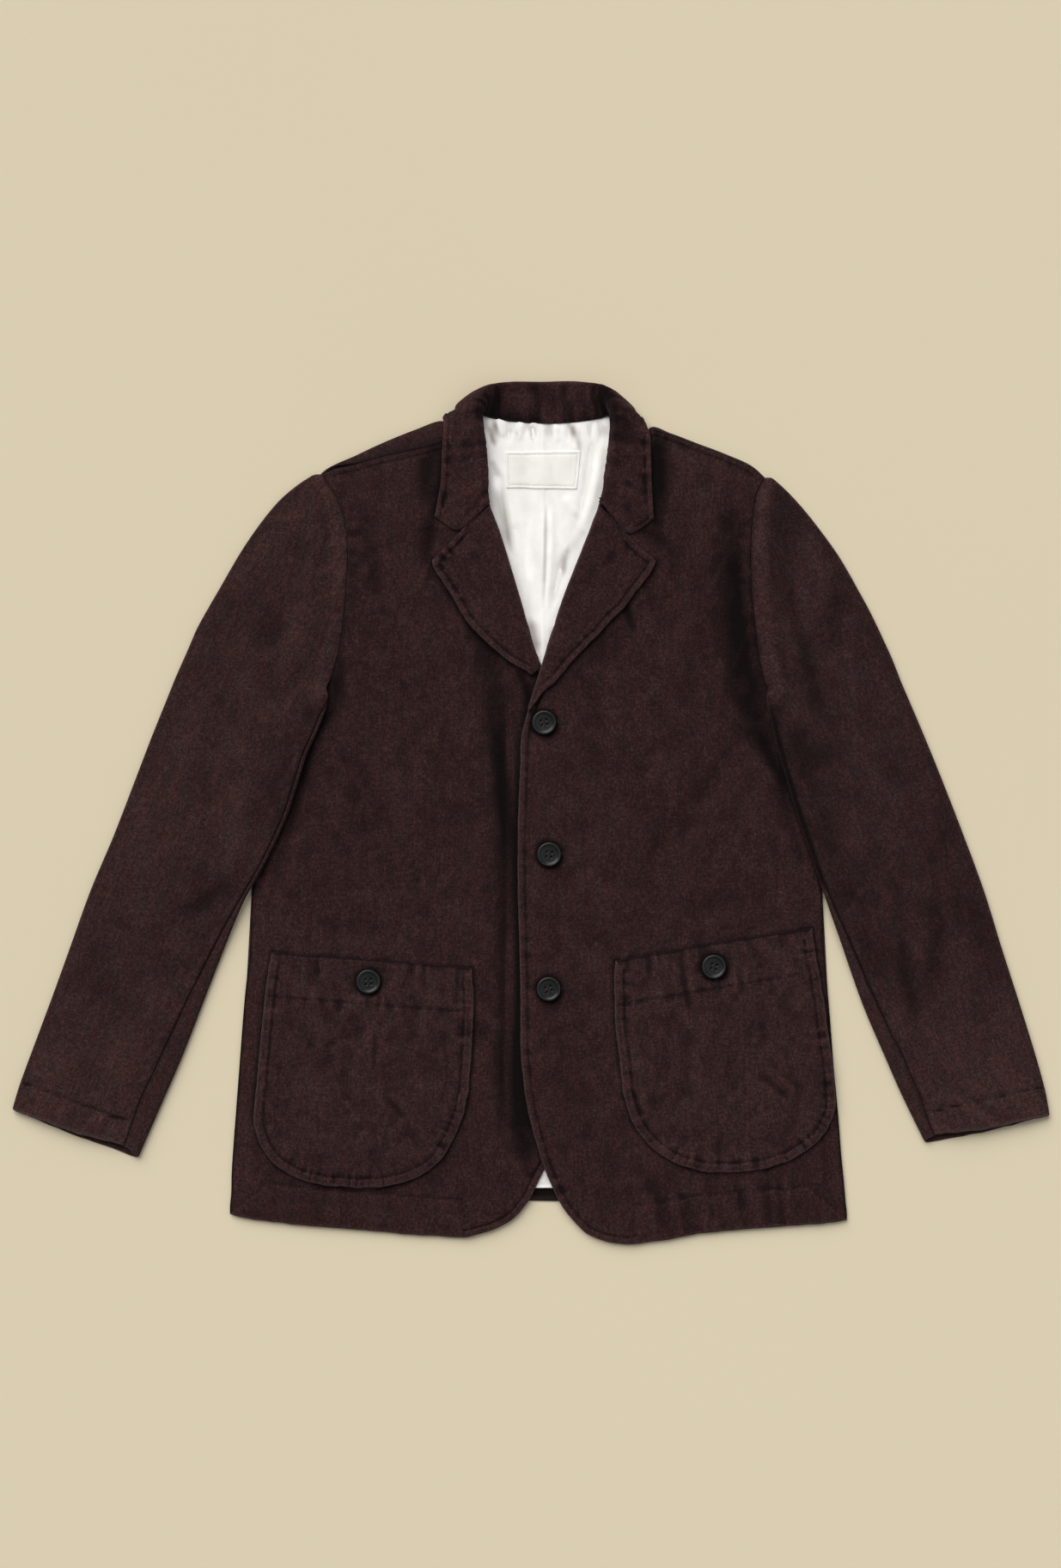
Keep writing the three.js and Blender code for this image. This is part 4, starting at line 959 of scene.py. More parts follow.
def cotton_material(name, low, high, fine):
    m, nt, p = material(name)
    weave = math_node(nt, "ADD", grain_noise(nt, (fine, fine * 4, fine * 4), 2.0), grain_noise(nt, (fine * 4, fine, fine * 4), 2.0, 0.5, 5.0))
    soft = grain_noise(nt, (16.0, 30.0, 20.0), 3.0, 0.6, 9.0)
    # painted shading: the attribute of painted shading makes the cotton greyer in hollows and painted fold shade, a
    # little lighter on ridges
    rl = nt.nodes.new("ShaderNodeAttribute")
    rl.attribute_name = "relief_and_painted_shading"
    shade = ramp(nt, math_node(nt, "ADD", math_node(nt, "MULTIPLY", rl.outputs["Fac"], 0.5), 0.5),
                 [(0.0, (0.36, 0.32, 0.30)), (0.5, (1.0, 1.0, 1.0)), (1.0, (1.08, 1.08, 1.08))])
    base = mix_color(nt, 1.0, ramp(nt, soft, [(0.3, low), (0.62, high)]), shade, "MULTIPLY")
    nt.links.new(base, p.inputs["Base Color"])
    p.inputs["Roughness"].default_value = 0.86
    p.inputs["Specular IOR Level"].default_value = 0.2
    p.inputs["Sheen Weight"].default_value = 0.08
    nt.links.new(bump(nt, weave, 0.0002, 0.6), p.inputs["Normal"])
    return m


COTTON = cotton_material("lining_cotton", (0.87, 0.85, 0.82), (0.965, 0.95, 0.93), 0.5)
TAPE = cotton_material("label_cotton", (0.87, 0.84, 0.80), (0.945, 0.92, 0.89), 0.35)
COTTON_THREAD = cotton_material("label_thread", (0.66, 0.60, 0.54), (0.74, 0.68, 0.62), 0.3)


def thread_material():
    m, nt, p = material("thread")
    twist = grain_noise(nt, (0.5, 0.5, 0.5), 1.0)
    nt.links.new(ramp(nt, twist, [(0.3, (0.009, 0.0045, 0.0045)), (0.7, (0.024, 0.0135, 0.013))]), p.inputs["Base Color"])
    p.inputs["Roughness"].default_value = 0.7
    p.inputs["Specular IOR Level"].default_value = 0.3
    nt.links.new(bump(nt, twist, 0.0002, 0.7), p.inputs["Normal"])
    return m


THREAD = thread_material()


def button_material():
    m, nt, p = material("button_resin")
    swirl = grain_noise(nt, (9.0, 4.0, 6.0), 3.0, 0.6, 2.0)
    a = nt.nodes.new("ShaderNodeAttribute")
    a.attribute_name = "grain"
    at = nt.nodes.new("ShaderNodeSeparateXYZ")
    nt.links.new(a.outputs["Vector"], at.inputs[0])
    r = math_node(nt, "SQRT", math_node(nt, "ADD", math_node(nt, "MULTIPLY", at.outputs[0], at.outputs[0]),
                                        math_node(nt, "MULTIPLY", at.outputs[1], at.outputs[1])))
    g = lambda v: (v, v, v)
    # painted light and shade: rings of the colour multiplied lighter and darker, a painted highlight ring near the rim,
    # painted shade rings between, and a darker outer wall
    rings = ramp(nt, math_node(nt, "DIVIDE", r, 12.0), [(0.0, g(0.9)), (0.34, g(1.0)), (0.42, g(0.35)), (0.52, g(1.5)), (0.63, g(0.35)),
                                                        (0.74, g(1.3)), (0.84, g(2.4)), (0.91, g(0.35))])
    base = ramp(nt, swirl, [(0.3, (0.0042, 0.0049, 0.0050)), (0.7, (0.0080, 0.0093, 0.0093))])
    nt.links.new(mix_color(nt, 1.0, base, rings, "MULTIPLY"), p.inputs["Base Color"])
    wear = grain_noise(nt, (2.0, 2.0, 2.0), 3.0, 0.6, 4.0)
    nt.links.new(math_node(nt, "ADD", math_node(nt, "MULTIPLY", wear, 0.16), 0.26), p.inputs["Roughness"])
    p.inputs["Specular IOR Level"].default_value = 0.30
    nt.links.new(bump(nt, wear, 0.00006, 0.5), p.inputs["Normal"])
    return m


RESIN = button_material()


def floor_material():
    m, nt, p = material("paper")
    co = nt.nodes.new("ShaderNodeTexCoord")
    n = nt.nodes.new("ShaderNodeTexNoise")
    n.inputs["Scale"].default_value = 1.2
    n.inputs["Detail"].default_value = 2.0
    nt.links.new(co.outputs["Object"], n.inputs["Vector"])
    nt.links.new(ramp(nt, n.outputs["Fac"], [(0.3, (0.690, 0.606, 0.447)), (0.7, (0.698, 0.614, 0.454))]), p.inputs["Base Color"])
    p.inputs["Roughness"].default_value = 1.0
    p.inputs["Specular IOR Level"].default_value = 0.0
    return m


fm = bpy.data.meshes.new("floor")
fm.from_pydata([(-4, -4, -0.0003), (4, -4, -0.0003), (4, 4, -0.0003), (-4, 4, -0.0003)], [], [(0, 1, 2, 3)])
fm.materials.append(floor_material())
floor = bpy.data.objects.new("floor", fm)
scene.collection.objects.link(floor)


# ---- sewn edges -------------------------------------------------------------------------------------------------
def rib(d, q, high=0.55, deep=0.5):
    """A turned edge: thicker out to the stitching at q, pressed in along it."""
    return high * smooth(d / 0.7) * (1 - smooth((d - q + 2.2) / 2.2)) - deep * np.exp(-((d - q) / 1.05) ** 2)


def ladder(s, d, q, amount, pitch, seed, wide=1.0):
    """Short puckers across a line of stitching, uneven in pitch, length and depth."""
    warp = s + 2.2 * noise(s, 0 * s, pitch * 4, seed + 5)
    a = noise(warp, 0 * s, pitch * 0.52, seed) + 0.5 * noise(warp, 0 * s + 3, pitch * 1.4, seed + 1)
    level = 0.55 + 0.45 * noise(s, 0 * s, pitch * 6, seed + 2)
    reach = q * (0.85 + 0.35 * noise(s, 0 * s, pitch, seed + 3)) * wide
    return amount * level * a * np.exp(-np.abs((d - q * 0.8) / reach) ** 2.2)


def stitch_painted_shading(s, d, q, pitch, seed, broad=0.9, strong=1.0):
    """Painted shade in the stitching's groove and in the puckers' valleys, painted light on the puckers' tops and, when
    strong is above 1, on the band inside the stitching.
    """
    return 0.5 * strong * ladder(s, d, q, 1.0, pitch, seed) + 0.14 * (strong - 1) * np.exp(-((d - 0.45 * q) / (0.38 * q)) ** 2) - 0.36 * np.exp(-((d - q) / broad) ** 2) * (0.7 + 0.5 * noise(s, 0 * s, 9, seed + 8))


def wavy(P, amount, size, seed):
    """A cut edge that isn't quite straight."""
    P = resample(np.asarray(P, float)[:, :2], 1.5)
    t = np.gradient(P, axis=0)
    t /= np.maximum(np.linalg.norm(t, axis=1), 1e-9)[:, None]
    L = np.r_[0, np.cumsum(np.linalg.norm(np.diff(P, axis=0), axis=1))]
    w = amount * (noise(L, 0 * L, size, seed) + 0.6 * noise(L, 0 * L, size * 0.4, seed + 1)) * smooth(L / 6) * smooth((L[-1] - L) / 6)
    return P + np.stack([-t[:, 1], t[:, 0]], 1) * w[:, None]


# ---- fronts -------------------------------------------------------------------------------------------------------
def at_x(table, x, key="y"):
    return np.interp(x, table["x"], table[key])


def front_grid(t, shoulder):
    U = np.unique(np.r_[np.linspace(0, 0.12, 8), np.linspace(0.12, 0.88, 24), np.linspace(0.88, 1, 8)])
    n = len(t["ax"])
    G = np.zeros((n, len(U), 3))
    for i in range(n):
        r = {k: v[i] for k, v in t.items()}
        x, y = lerp(r["ax"], r["bx"], U), lerp(r["ay"], r["by"], U) + r["bow"] * 4 * U * (1 - U)
        if i == 0:
            y = at_x(shoulder, x) - 0.5
        W = math.hypot(r["bx"] - r["ax"], r["by"] - r["ay"])
        a, b = U * W, (1 - U) * W
        rise = lerp(r["zA"], r["zM"], smooth((a - r["fA"]) / r["wA"]))
        G[i] = np.stack([x, y, lerp(r["zB"], rise, smooth(b / r["wB"]))], 1)
    return refine(G, 6, 6)


FOLDS_RIGHT = [
    (591, 785, 593, 1040, 589, 1352, 8.5, -2.3, 1.9), (592, 795, 590, 860, 592, 935, 7, -0.9, 1.8),
    (588, 1185, 590, 1260, 587, 1345, 7, -1.1, 1.8), (560, 900, 566, 1040, 560, 1180, 12, 0.7, 2.0),
    (489, 505, 495, 550, 491, 604, 6.5, -2.2, 1.7), (506, 606, 500, 635, 497, 662, 6, -1.5, 1.7),
    (541, 705, 568, 752, 602, 800, 7, -1.7, 1.7), (430, 590, 436, 650, 441, 712, 9, -1.1, 1.8),
    (470, 560, 462, 640, 470, 730, 14, 0.8, 2.0), (392, 600, 398, 660, 396, 730, 8, -0.7, 1.8),
    (389, 764, 384, 800, 368, 856, 8, -1.8, 1.7), (366, 862, 340, 945, 300, 1036, 8, -1.5, 1.8),
    (402, 838, 424, 930, 462, 1035, 14, -1.1, 1.9), (428, 836, 452, 930, 492, 1030, 13, 0.8, 1.9),
    (352, 965, 372, 1030, 380, 1092, 13, -0.8, 1.9), (330, 1068, 400, 1082, 500, 1092, 9, -1.0, 1.9),
    (505, 850, 512, 930, 504, 1040, 15, -0.6, 2.0), (520, 640, 528, 690, 520, 760, 10, -0.5, 1.8),
    (452, 735, 470, 790, 468, 850, 13, -0.6, 1.9), (560, 1100, 566, 1170, 562, 1260, 8, -0.7, 1.8),
    (304, 1180, 300, 1260, 292, 1340, 7, -0.7, 1.8), (420, 520, 440, 560, 444, 600, 10, -0.7, 1.8),
    (556, 1290, 562, 1340, 548, 1390, 7, -0.6, 1.8), (300, 1392, 380, 1404, 470, 1412, 5, -0.35, 1.8),
    (395, 556, 412, 562, 430, 580, 5, -0.5, 1.6), (400, 604, 416, 612, 430, 632, 5, -0.45, 1.6)]
FOLDS_LEFT = [
    (765, 498, 768, 550, 771, 606, 6.5, -2.3, 1.7), (736, 608, 758, 626, 780, 643, 6, -1.4, 1.7),
    (848, 588, 858, 700, 862, 824, 13, -2.1, 1.9), (858, 652, 862, 740, 866, 822, 6.5, -0.9, 1.8),
    (884, 856, 896, 880, 910, 903, 8, -1.4, 1.8), (904, 890, 930, 960, 952, 1030, 8, -1.5, 1.8),
    (721, 695, 731, 714, 739, 740, 3.5, -0.6, 1.6), (748, 700, 756, 724, 758, 748, 4, 0.4, 1.6),
    (858, 860, 806, 936, 738, 1014, 9, -1.5, 1.7), (884, 868, 826, 956, 764, 1036, 10, 1.0, 1.9),
    (658, 994, 674, 972, 690, 950, 5.0, -0.35, 1.7), (700, 760, 706, 830, 698, 910, 12, -0.6, 1.9),
    (800, 690, 788, 776, 772, 860, 14, 0.8, 2.0), (902, 955, 906, 1010, 900, 1064, 8, -0.8, 1.8),
    (636, 1062, 676, 1090, 716, 1102, 8, -0.6, 1.8), (826, 560, 816, 630, 820, 700, 12, 0.7, 2.0),
    (690, 1010, 694, 1070, 700, 1130, 9, -0.7, 1.8), (668, 1180, 672, 1260, 690, 1340, 10, -0.8, 1.9),
    (648, 1230, 652, 1300, 668, 1370, 7, 0.4, 1.8), (790, 520, 796, 570, 790, 640, 10, 0.6, 1.9),
    (742, 1052, 800, 1062, 880, 1050, 9, -0.7, 1.9), (720, 1355, 742, 1380, 790, 1400, 7, -0.6, 1.8),
    (862, 1380, 866, 1396, 870, 1414, 4, -0.6, 1.6), (640, 880, 652, 920, 650, 966, 8, -0.45, 1.8),
    (644, 1045, 654, 1090, 650, 1130, 7, -0.4, 1.8), (968, 1160, 972, 1240, 974, 1330, 6, -0.7, 1.8)]


def front_sides(t, shoulder, hem, turn):
    a = np.stack([t["ax"], t["ay"]], 1)
    b = np.stack([t["bx"], t["by"]], 1)
    sh = np.stack([shoulder["x"], shoulder["y"] - 0.5], 1)
    if abs(sh[0, 0] - b[0, 0]) > 1:
        sh = sh[::-1]
    hem = np.array(hem, float)
    k = turn
    edge = spline(np.concatenate([a[3:], hem[1:k + 1]]), 1.0)
    return [("shoulder", spline(sh, 1.0)), ("neck", spline(a[:4], 1.0)), ("edge", wavy(edge, 0.28, 16, 11)),
            ("hem", wavy(spline(hem[k:], 1.0), 0.35, 14, 12)), ("side", spline(b[10:][::-1], 1.0)),
            ("armhole", spline(b[:11][::-1], 1.0))]


SHADE_RIGHT = [
    [(544, 702, 7, -0.30), (557, 733, 10, -0.55), (568, 765, 12, -0.62), (573, 800, 12, -0.58), (577, 840, 10, -0.66),
     (582, 885, 8, -0.90), (589, 930, 9, -0.95), (595, 972, 9, -0.95), (599, 1020, 9, -0.75), (600, 1100, 9, -0.42),
     (599, 1180, 9, -0.50), (599, 1240, 12, -0.85), (605, 1300, 12, -0.95), (611, 1340, 8, -0.85), (615, 1364, 5, -0.40)],
    [(604, 784, 3, -0.70), (613, 803, 4, -0.95), (614, 824, 3.5, -0.80), (608, 844, 3, -0.35)],
    [(500, 488, 6, -0.25), (501, 520, 9, -0.50), (504, 560, 10, -0.55), (500, 600, 8, -0.45), (498, 640, 8, -0.45),
     (506, 690, 7, -0.30), (520, 716, 6, -0.20)],
    [(392, 735, 4, -0.10), (389, 765, 7, -0.55), (386, 790, 9, -0.90), (380, 816, 8, -0.95), (372, 845, 6, -0.90),
     (361, 874, 5, -0.85), (350, 910, 4.5, -0.80), (340, 942, 4.5, -0.75), (318, 990, 4.5, -0.70), (297, 1036, 4, -0.60)],
    [(430, 590, 10, -0.06), (438, 650, 12, -0.20), (436, 720, 10, -0.06)],
    [(406, 560, 9, -0.10), (412, 640, 10, -0.20), (408, 700, 10, -0.22), (400, 750, 9, -0.25)],
    [(402, 838, 12, -0.06), (424, 930, 16, -0.14), (462, 1035, 12, -0.04)],
    [(556, 1100, 11, -0.05), (566, 1170, 12, -0.12), (562, 1260, 10, -0.05)]]
SHADE_LEFT = [
    [(764, 496, 6, -0.45), (766, 530, 9, -0.75), (769, 570, 9, -0.70), (766, 604, 7, -0.60), (760, 618, 7, -0.55),
     (774, 636, 9, -0.45), (786, 656, 8, -0.15)],
    [(738, 700, 6, -0.10), (706, 745, 8, -0.30), (670, 784, 7, -0.30), (640, 810, 5, -0.20)],
    [(844, 570, 8, -0.12), (848, 600, 12, -0.36), (851, 640, 16, -0.56), (857, 690, 19, -0.66), (863, 740, 21, -0.76),
     (868, 790, 21, -0.86), (873, 826, 18, -0.88), (882, 852, 13, -0.95), (894, 877, 8, -1.0), (909, 904, 6.5, -1.0),
     (923, 934, 5.5, -0.95), (938, 971, 5, -0.85), (950, 1006, 4.5, -0.75), (957, 1032, 4, -0.55)],
    [(800, 640, 14, -0.06), (806, 720, 18, -0.16), (812, 800, 16, -0.10), (826, 860, 12, -0.04)],
    [(858, 860, 10, -0.08), (806, 936, 13, -0.17), (738, 1014, 10, -0.05)],
    [(656, 998, 5, -0.04), (674, 972, 7, -0.10), (690, 950, 5, -0.03)],
    [(719, 693, 3, -0.08), (729, 714, 5, -0.22), (739, 742, 4, -0.08)],
    [(720, 1355, 8, -0.05), (742, 1380, 9, -0.12), (790, 1400, 8, -0.05)]]
# painted contact shadows on the fronts beside the lapels, pockets, pocket mouths, the left front's edge, the buttons
# and the collar: line, width, amount
CONTACT_SHADOW_RIGHT = [(LAPEL_RIGHT["ox"], LAPEL_RIGHT["oy"], 3.0, -0.80), (POCKET_RIGHT["lx"], POCKET_RIGHT["ly"], 2.4, -0.85),
               (POCKET_RIGHT["rx"], POCKET_RIGHT["ry"], 2.4, -0.85), (FRONT_LEFT["ax"][3:], FRONT_LEFT["ay"][3:], 3.5, -0.60)]
CONTACT_SHADOW_LEFT = [(LAPEL_LEFT["ox"], LAPEL_LEFT["oy"], 3.0, -0.80), (POCKET_LEFT["lx"], POCKET_LEFT["ly"], 2.4, -0.85),
              (POCKET_LEFT["rx"], POCKET_LEFT["ry"], 2.4, -0.85)]
for contact_shadows, bag in ((CONTACT_SHADOW_RIGHT, POCKET_RIGHT), (CONTACT_SHADOW_LEFT, POCKET_LEFT)):
    contact_shadows.append((np.array([bag["lx"][0], bag["rx"][0]]), np.array([bag["ly"][0], bag["ry"][0]]) + 0.6, 1.7, -0.55))
for name, bx, by, on in BUTTONS:
    if on == "front_left":
        ring = np.linspace(0, 2 * math.pi, 40)
        CONTACT_SHADOW_LEFT.append((bx + 11.3 * np.cos(ring), by + 11.3 * np.sin(ring), 2.6, -1.1))
CONTACT_SHADOW_RIGHT += [(COLLAR_RIGHT[:6, 0], COLLAR_RIGHT[:6, 1], 3.2, -0.85)]
CONTACT_SHADOW_LEFT += [(COLLAR_LEFT_FRONT[:6, 0], COLLAR_LEFT_FRONT[:6, 1], 3.2, -0.85)]


def front_piece(name, t, shoulder, hem, turn, folds, box, seed, shades, contact_shadows):
    field = field_of_grid(front_grid(t, shoulder), box).blur(2.5)
    line = Outline(front_sides(t, shoulder, hem, turn))
    names = line.names

    def body(x, y):
        # a little fuller than the solid between its folds; it never sinks to the lining
        z = field(x, y)
        s = strokes(x, y, folds)
        return z + 0.9 * smooth((z - 5.6) / 2.2) + np.where(s < 0, 1.45 * s, 1.5 * s)

    def broad(x, y):
        s = strokes(x, y, wide(folds))
        return field(x, y) + 0.9 * smooth((field(x, y) - 5.6) / 2.2) + np.where(s < 0, 1.45 * s, 1.5 * s)

    def plain(x, y):
        return at_least(body(x, y) + crinkles(x, y, 0.42, seed), 4.1)

    def s_of(x, y):
        return line.near(x, y)[1]

    def tone(x, y, d, side):
        # painted shading: fold valleys darker and ridges lighter, painted shade along folds, painted contact shadows,
        # painted shade in the shoulder and side seams and along the stitching; plus a faint random tone
        s = strokes(x, y, folds)
        v = s / 10 + shadows(x, y, shades) + 0.07 * noise(x, y, 62, seed + 90, 80, 1.5)
        for cx, cy, width, amount in contact_shadows:
            v = v + beside(x, y, np.stack([cx, cy], 1), width, amount)
        v = v - np.where((side == names.index("shoulder")) | (side == names.index("side")), 0.6 * np.exp(-(d / 1.6) ** 2), 0)
        on = (side == names.index("edge")) | (side == names.index("neck"))
        v = v + np.where(on, stitch_painted_shading(s_of(x, y), d, 6.4, 10.0, seed + 20), 0)
        on = side == names.index("hem")
        v = v + np.where(on, 0.6 * stitch_painted_shading(s_of(x, y), d, 35.0, 12.0, seed + 30) * (d < 40) + 0.3 * stitch_painted_shading(s_of(x, y), d, 7.0, 13.0, seed + 40), 0)
        on = side == names.index("shoulder")
        return v + np.where(on, 0.8 * stitch_painted_shading(s_of(x, y), d, 5.5, 9.0, seed + 60), 0)

    def top(x, y, d, s, side):
        inner = smooth((d - 0.5) / 12)
        z = lerp(field(x, y), body(x, y), 0.4 + 0.6 * inner) + crinkles(x, y, 0.42, seed) * (0.45 + 0.55 * inner)
        z = at_least(z, np.minimum(field(x, y) - 0.6, 4.1))
        on = side == names.index("edge")
        z = z + np.where(on, rib(d, 6.4, 0.85, 0.65) + ladder(s, d, 6.4, 0.50, 10.0, seed + 20), 0)
        on = side == names.index("hem")
        z = z + np.where(on, rib(d, 35.0, 0.35, 0.40) * (d < 40) + ladder(s, d, 33, 0.34, 12.0, seed + 30, 0.5)
                         + ladder(s, d, 6.0, 0.30, 13.0, seed + 40), 0)
        on = side == names.index("armhole")
        z = z + np.where(on, -0.15 * np.exp(-(d / 1.8) ** 2) + 0.1 * np.exp(-((d - 5) / 3) ** 2)
                         + ladder(s, d, 5.0, 0.38, 11.0, seed + 50, 1.5), 0)
        on = side == names.index("shoulder")
        z = z + np.where(on, rib(d, 5.5, 0.3, 0.35) + ladder(s, d, 4.0, 0.25, 9.0, seed + 60), 0)
        on = side == names.index("side")
        z = z + np.where(on, -0.7 * np.exp(-(d / 3.0) ** 2) + ladder(s, d, 5.0, 0.35, 15.0, seed + 70, 1.6), 0)
        return z

    def under(x, y, d, s, side):
        return np.maximum(lerp(field(x, y), body(x, y), 0.4 + 0.6 * smooth((d - 0.5) / 12)) - 0.3, np.minimum(field(x, y), 4.2)) - 1.15 + 0 * d

    o = shell(name, line, top, 1.35, CLOTH, [name], h=2.45, under=6.5, bottom=under,
              tone=tone, worn_and_rim_lit=("edge", "hem", "neck"), broad=broad, tight=("armhole",))
    return {"line": line, "top": top, "plain": plain, "object": o,
            "z": lambda x, y: top(x, y, *line.near(x, y))}


right = front_piece("front_right", FRONT_RIGHT, SHOULDER_RIGHT, HEM_RIGHT, 1, FOLDS_RIGHT, (-290, -400, 60, 352), 100, SHADE_RIGHT, CONTACT_SHADOW_RIGHT)
left = front_piece("front_left", FRONT_LEFT, SHOULDER_LEFT, HEM_LEFT, 1, FOLDS_LEFT, (-30, -402, 304, 358), 300, SHADE_LEFT, CONTACT_SHADOW_LEFT)


# ---- back -----------------------------------------------------------------------------------------------------------
def neck_lift(x, y):
    return 2.7 * smooth((82 - np.abs(x - 14)) / 26) * smooth((y - 296) / 34)


def back_grid():
    u = (BACK_TOP["x"] - BACK_TOP["x"][0]) / (BACK_TOP["x"][-1] - BACK_TOP["x"][0])
    chord = lerp(BACK["ly"][0], BACK["ry"][0], u)
    flat = []
    for i in range(len(BACK["lx"])):
        r = {k: v[i] for k, v in BACK.items()}
        x = lerp(r["lx"], r["rx"], u)
        y = lerp(r["ly"], r["ry"], u) + r["bow"] * 4 * u * (1 - u)
        y = y + (at_x(BACK_TOP, lerp(BACK["lx"][0], BACK["rx"][0], u)) - chord) * r["cap"]
        flat.append(np.stack([x, y, neck_lift(x, y)], 1))
    p = flat.pop(0)
    strip = at_x(BACK_TOP, p[:, 0], "strip")
    f = smooth(strip / 6)[:, None]
    turned = []
    for k, (reach, z, inset) in enumerate([(1, 6.7, 0), (0.45, 7.0, 0), (0, 5.9, 0.5), (0, 3.2, 0), (0, 0.8, 0.6)]):
        y = p[:, 1] - strip * reach - inset
        if reach == 1:
            y = np.minimum(p[:, 1] - 0.4, at_x(SHOULDER_RIGHT, p[:, 0]))
        folded = np.stack([p[:, 0], y, np.full(len(p), z)], 1)
        plain = np.stack([p[:, 0], p[:, 1] - k * 0.8, neck_lift(p[:, 0], p[:, 1])], 1)
        turned.append(lerp(plain, folded, f))
    turned.append(np.stack([p[:, 0], p[:, 1] - 4.5, neck_lift(p[:, 0], p[:, 1] - 4.5)], 1))
    return np.array(turned + flat)


G = refine(back_grid(), 6.5, 5.0)
zb = G[:, :, 2]
G[:, :, 2] = np.where(zb < 0.02, 0.02, zb) + np.where(zb > 4.5, ladder(G[:, :, 0], 0 * zb + 4, 5, 0.35, 9, 900), 0)
# painted shade on the back's inner face where it shows between the fronts at the hem
gap = chart(632, 1387)
sheet_shell("back", G, 1.4, 1, CLOTH, ["back"], inside=-0.92 * np.exp(-(((G[:, :, 0] - gap[0]) / 19) ** 4) - ((G[:, :, 1] - gap[1]) / 17) ** 4))

# ---- lining and label -------------------------------------------------------------------------------------------------
LG = np.array([[(lerp(LINING_ROWS["lx"][i], LINING_ROWS["rx"][i], u), lerp(LINING_ROWS["ly"][i], LINING_ROWS["ry"][i], u),
                 LINING_ROWS["z"][i] + 1.0) for u in np.linspace(0, 1, 9)] for i in range(12)])
lining_field = field_of_grid(refine(LG, 8, 10), (-250, -345, 262, 366), 3.0).blur(4)
FOLDS_LINING = [
    (577, 552, 580, 590, 592, 650, 5.0, 1.0, 1.8), (586, 548, 590, 600, 602, 660, 3.5, -0.9, 1.7),
    (700, 500, 694, 560, 676, 622, 5.0, 1.0, 1.8), (690, 496, 684, 560, 666, 625, 4.0, -0.9, 1.7),
    (674, 490, 672, 512, 671, 532, 3.0, 0.9, 1.7), (578, 486, 582, 500, 586, 512, 3.0, 0.8, 1.7),
    (600, 600, 606, 660, 622, 740, 6.0, -0.8, 1.8), (640, 585, 642, 640, 634, 730, 3.0, 0.7, 1.6),
    (656, 640, 650, 676, 640, 720, 4.0, -0.7, 1.7), (620, 600, 618, 650, 624, 700, 5.0, 0.6, 1.8),
    (606, 490, 606, 502, 604, 516, 2.6, 0.6, 1.7), (620, 494, 620, 504, 621, 518, 2.6, -0.6, 1.7),
    (648, 494, 648, 505, 650, 520, 2.6, 0.6, 1.7), (660, 490, 661, 502, 662, 518, 2.4, -0.6, 1.7),
    (592, 488, 592, 500, 593, 520, 2.4, -0.6, 1.7), (660, 575, 664, 590, 680, 604, 4.0, 0.7, 1.8)]


SHADE_LINING = [
    (567, 493, 572, 508, 578, 524, 3.0, -0.85, 1.7), (574, 490, 579, 500, 585, 512, 2.6, -0.70, 1.7),
    (569, 534, 576, 546, 586, 562, 4.0, -0.50, 1.7), (573, 556, 583, 600, 597, 656, 5.5, -0.95, 1.9),
    (591, 498, 598, 504, 607, 510, 2.4, -0.26, 1.7), (614, 496, 618, 508, 622, 520, 1.8, -0.30, 1.7),
    (660, 491, 669, 506, 677, 536, 3.4, -0.85, 1.8), (677, 534, 678, 548, 676, 566, 2.4, -0.30, 1.7),
    (687, 538, 696, 560, 699, 584, 4.0, -0.24, 1.7), (683, 610, 673, 628, 660, 646, 5.0, -0.34, 1.8),
    (664, 632, 658, 652, 657, 680, 3.6, -0.80, 1.8), (616, 716, 621, 740, 628, 766, 5.0, -0.85, 1.8),
    (645, 722, 641, 742, 636, 764, 3.4, -0.45, 1.8), (635, 570, 634, 650, 630, 744, 1.9, -0.60, 1.8),
    (632, 1362, 632, 1372, 632, 1384, 16.0, -0.45, 1.8), (648, 496, 651, 508, 652, 520, 1.8, -0.28, 1.7)]


def lining_tone_and_painted_shading(x, y, d, side):
    # painted shade along the lining's folds and in the gathers under the neck seam, over a slight overall lightening
    seam = smooth((y - 338) / 8)
    return 0.12 + strokes(x, y, SHADE_LINING) - 0.34 * seam * smooth(0.5 - noise(x, y, 5.0, 43, 92, 4.0) * 1.5)


def lining_plain(x, y):
    z = lining_field(x, y) + 1.7 * np.maximum(strokes(x, y, FOLDS_LINING), -0.55)
    z = z + 0.35 * noise(x, y, 17, 41, 95, 2.4) + crinkles(x, y, 0.35, 45)
    centre = chart(632, 500)[0]
    z = z + 0.5 * np.exp(-((x - centre) / 1.0) ** 2)
    gather = smooth((y - 326) / 16)
    return z + gather * (0.5 * noise(x, y, 5.0, 43, 92, 4.0) + 0.25 * noise(x, y, 3.4, 44, 88, 4.0))


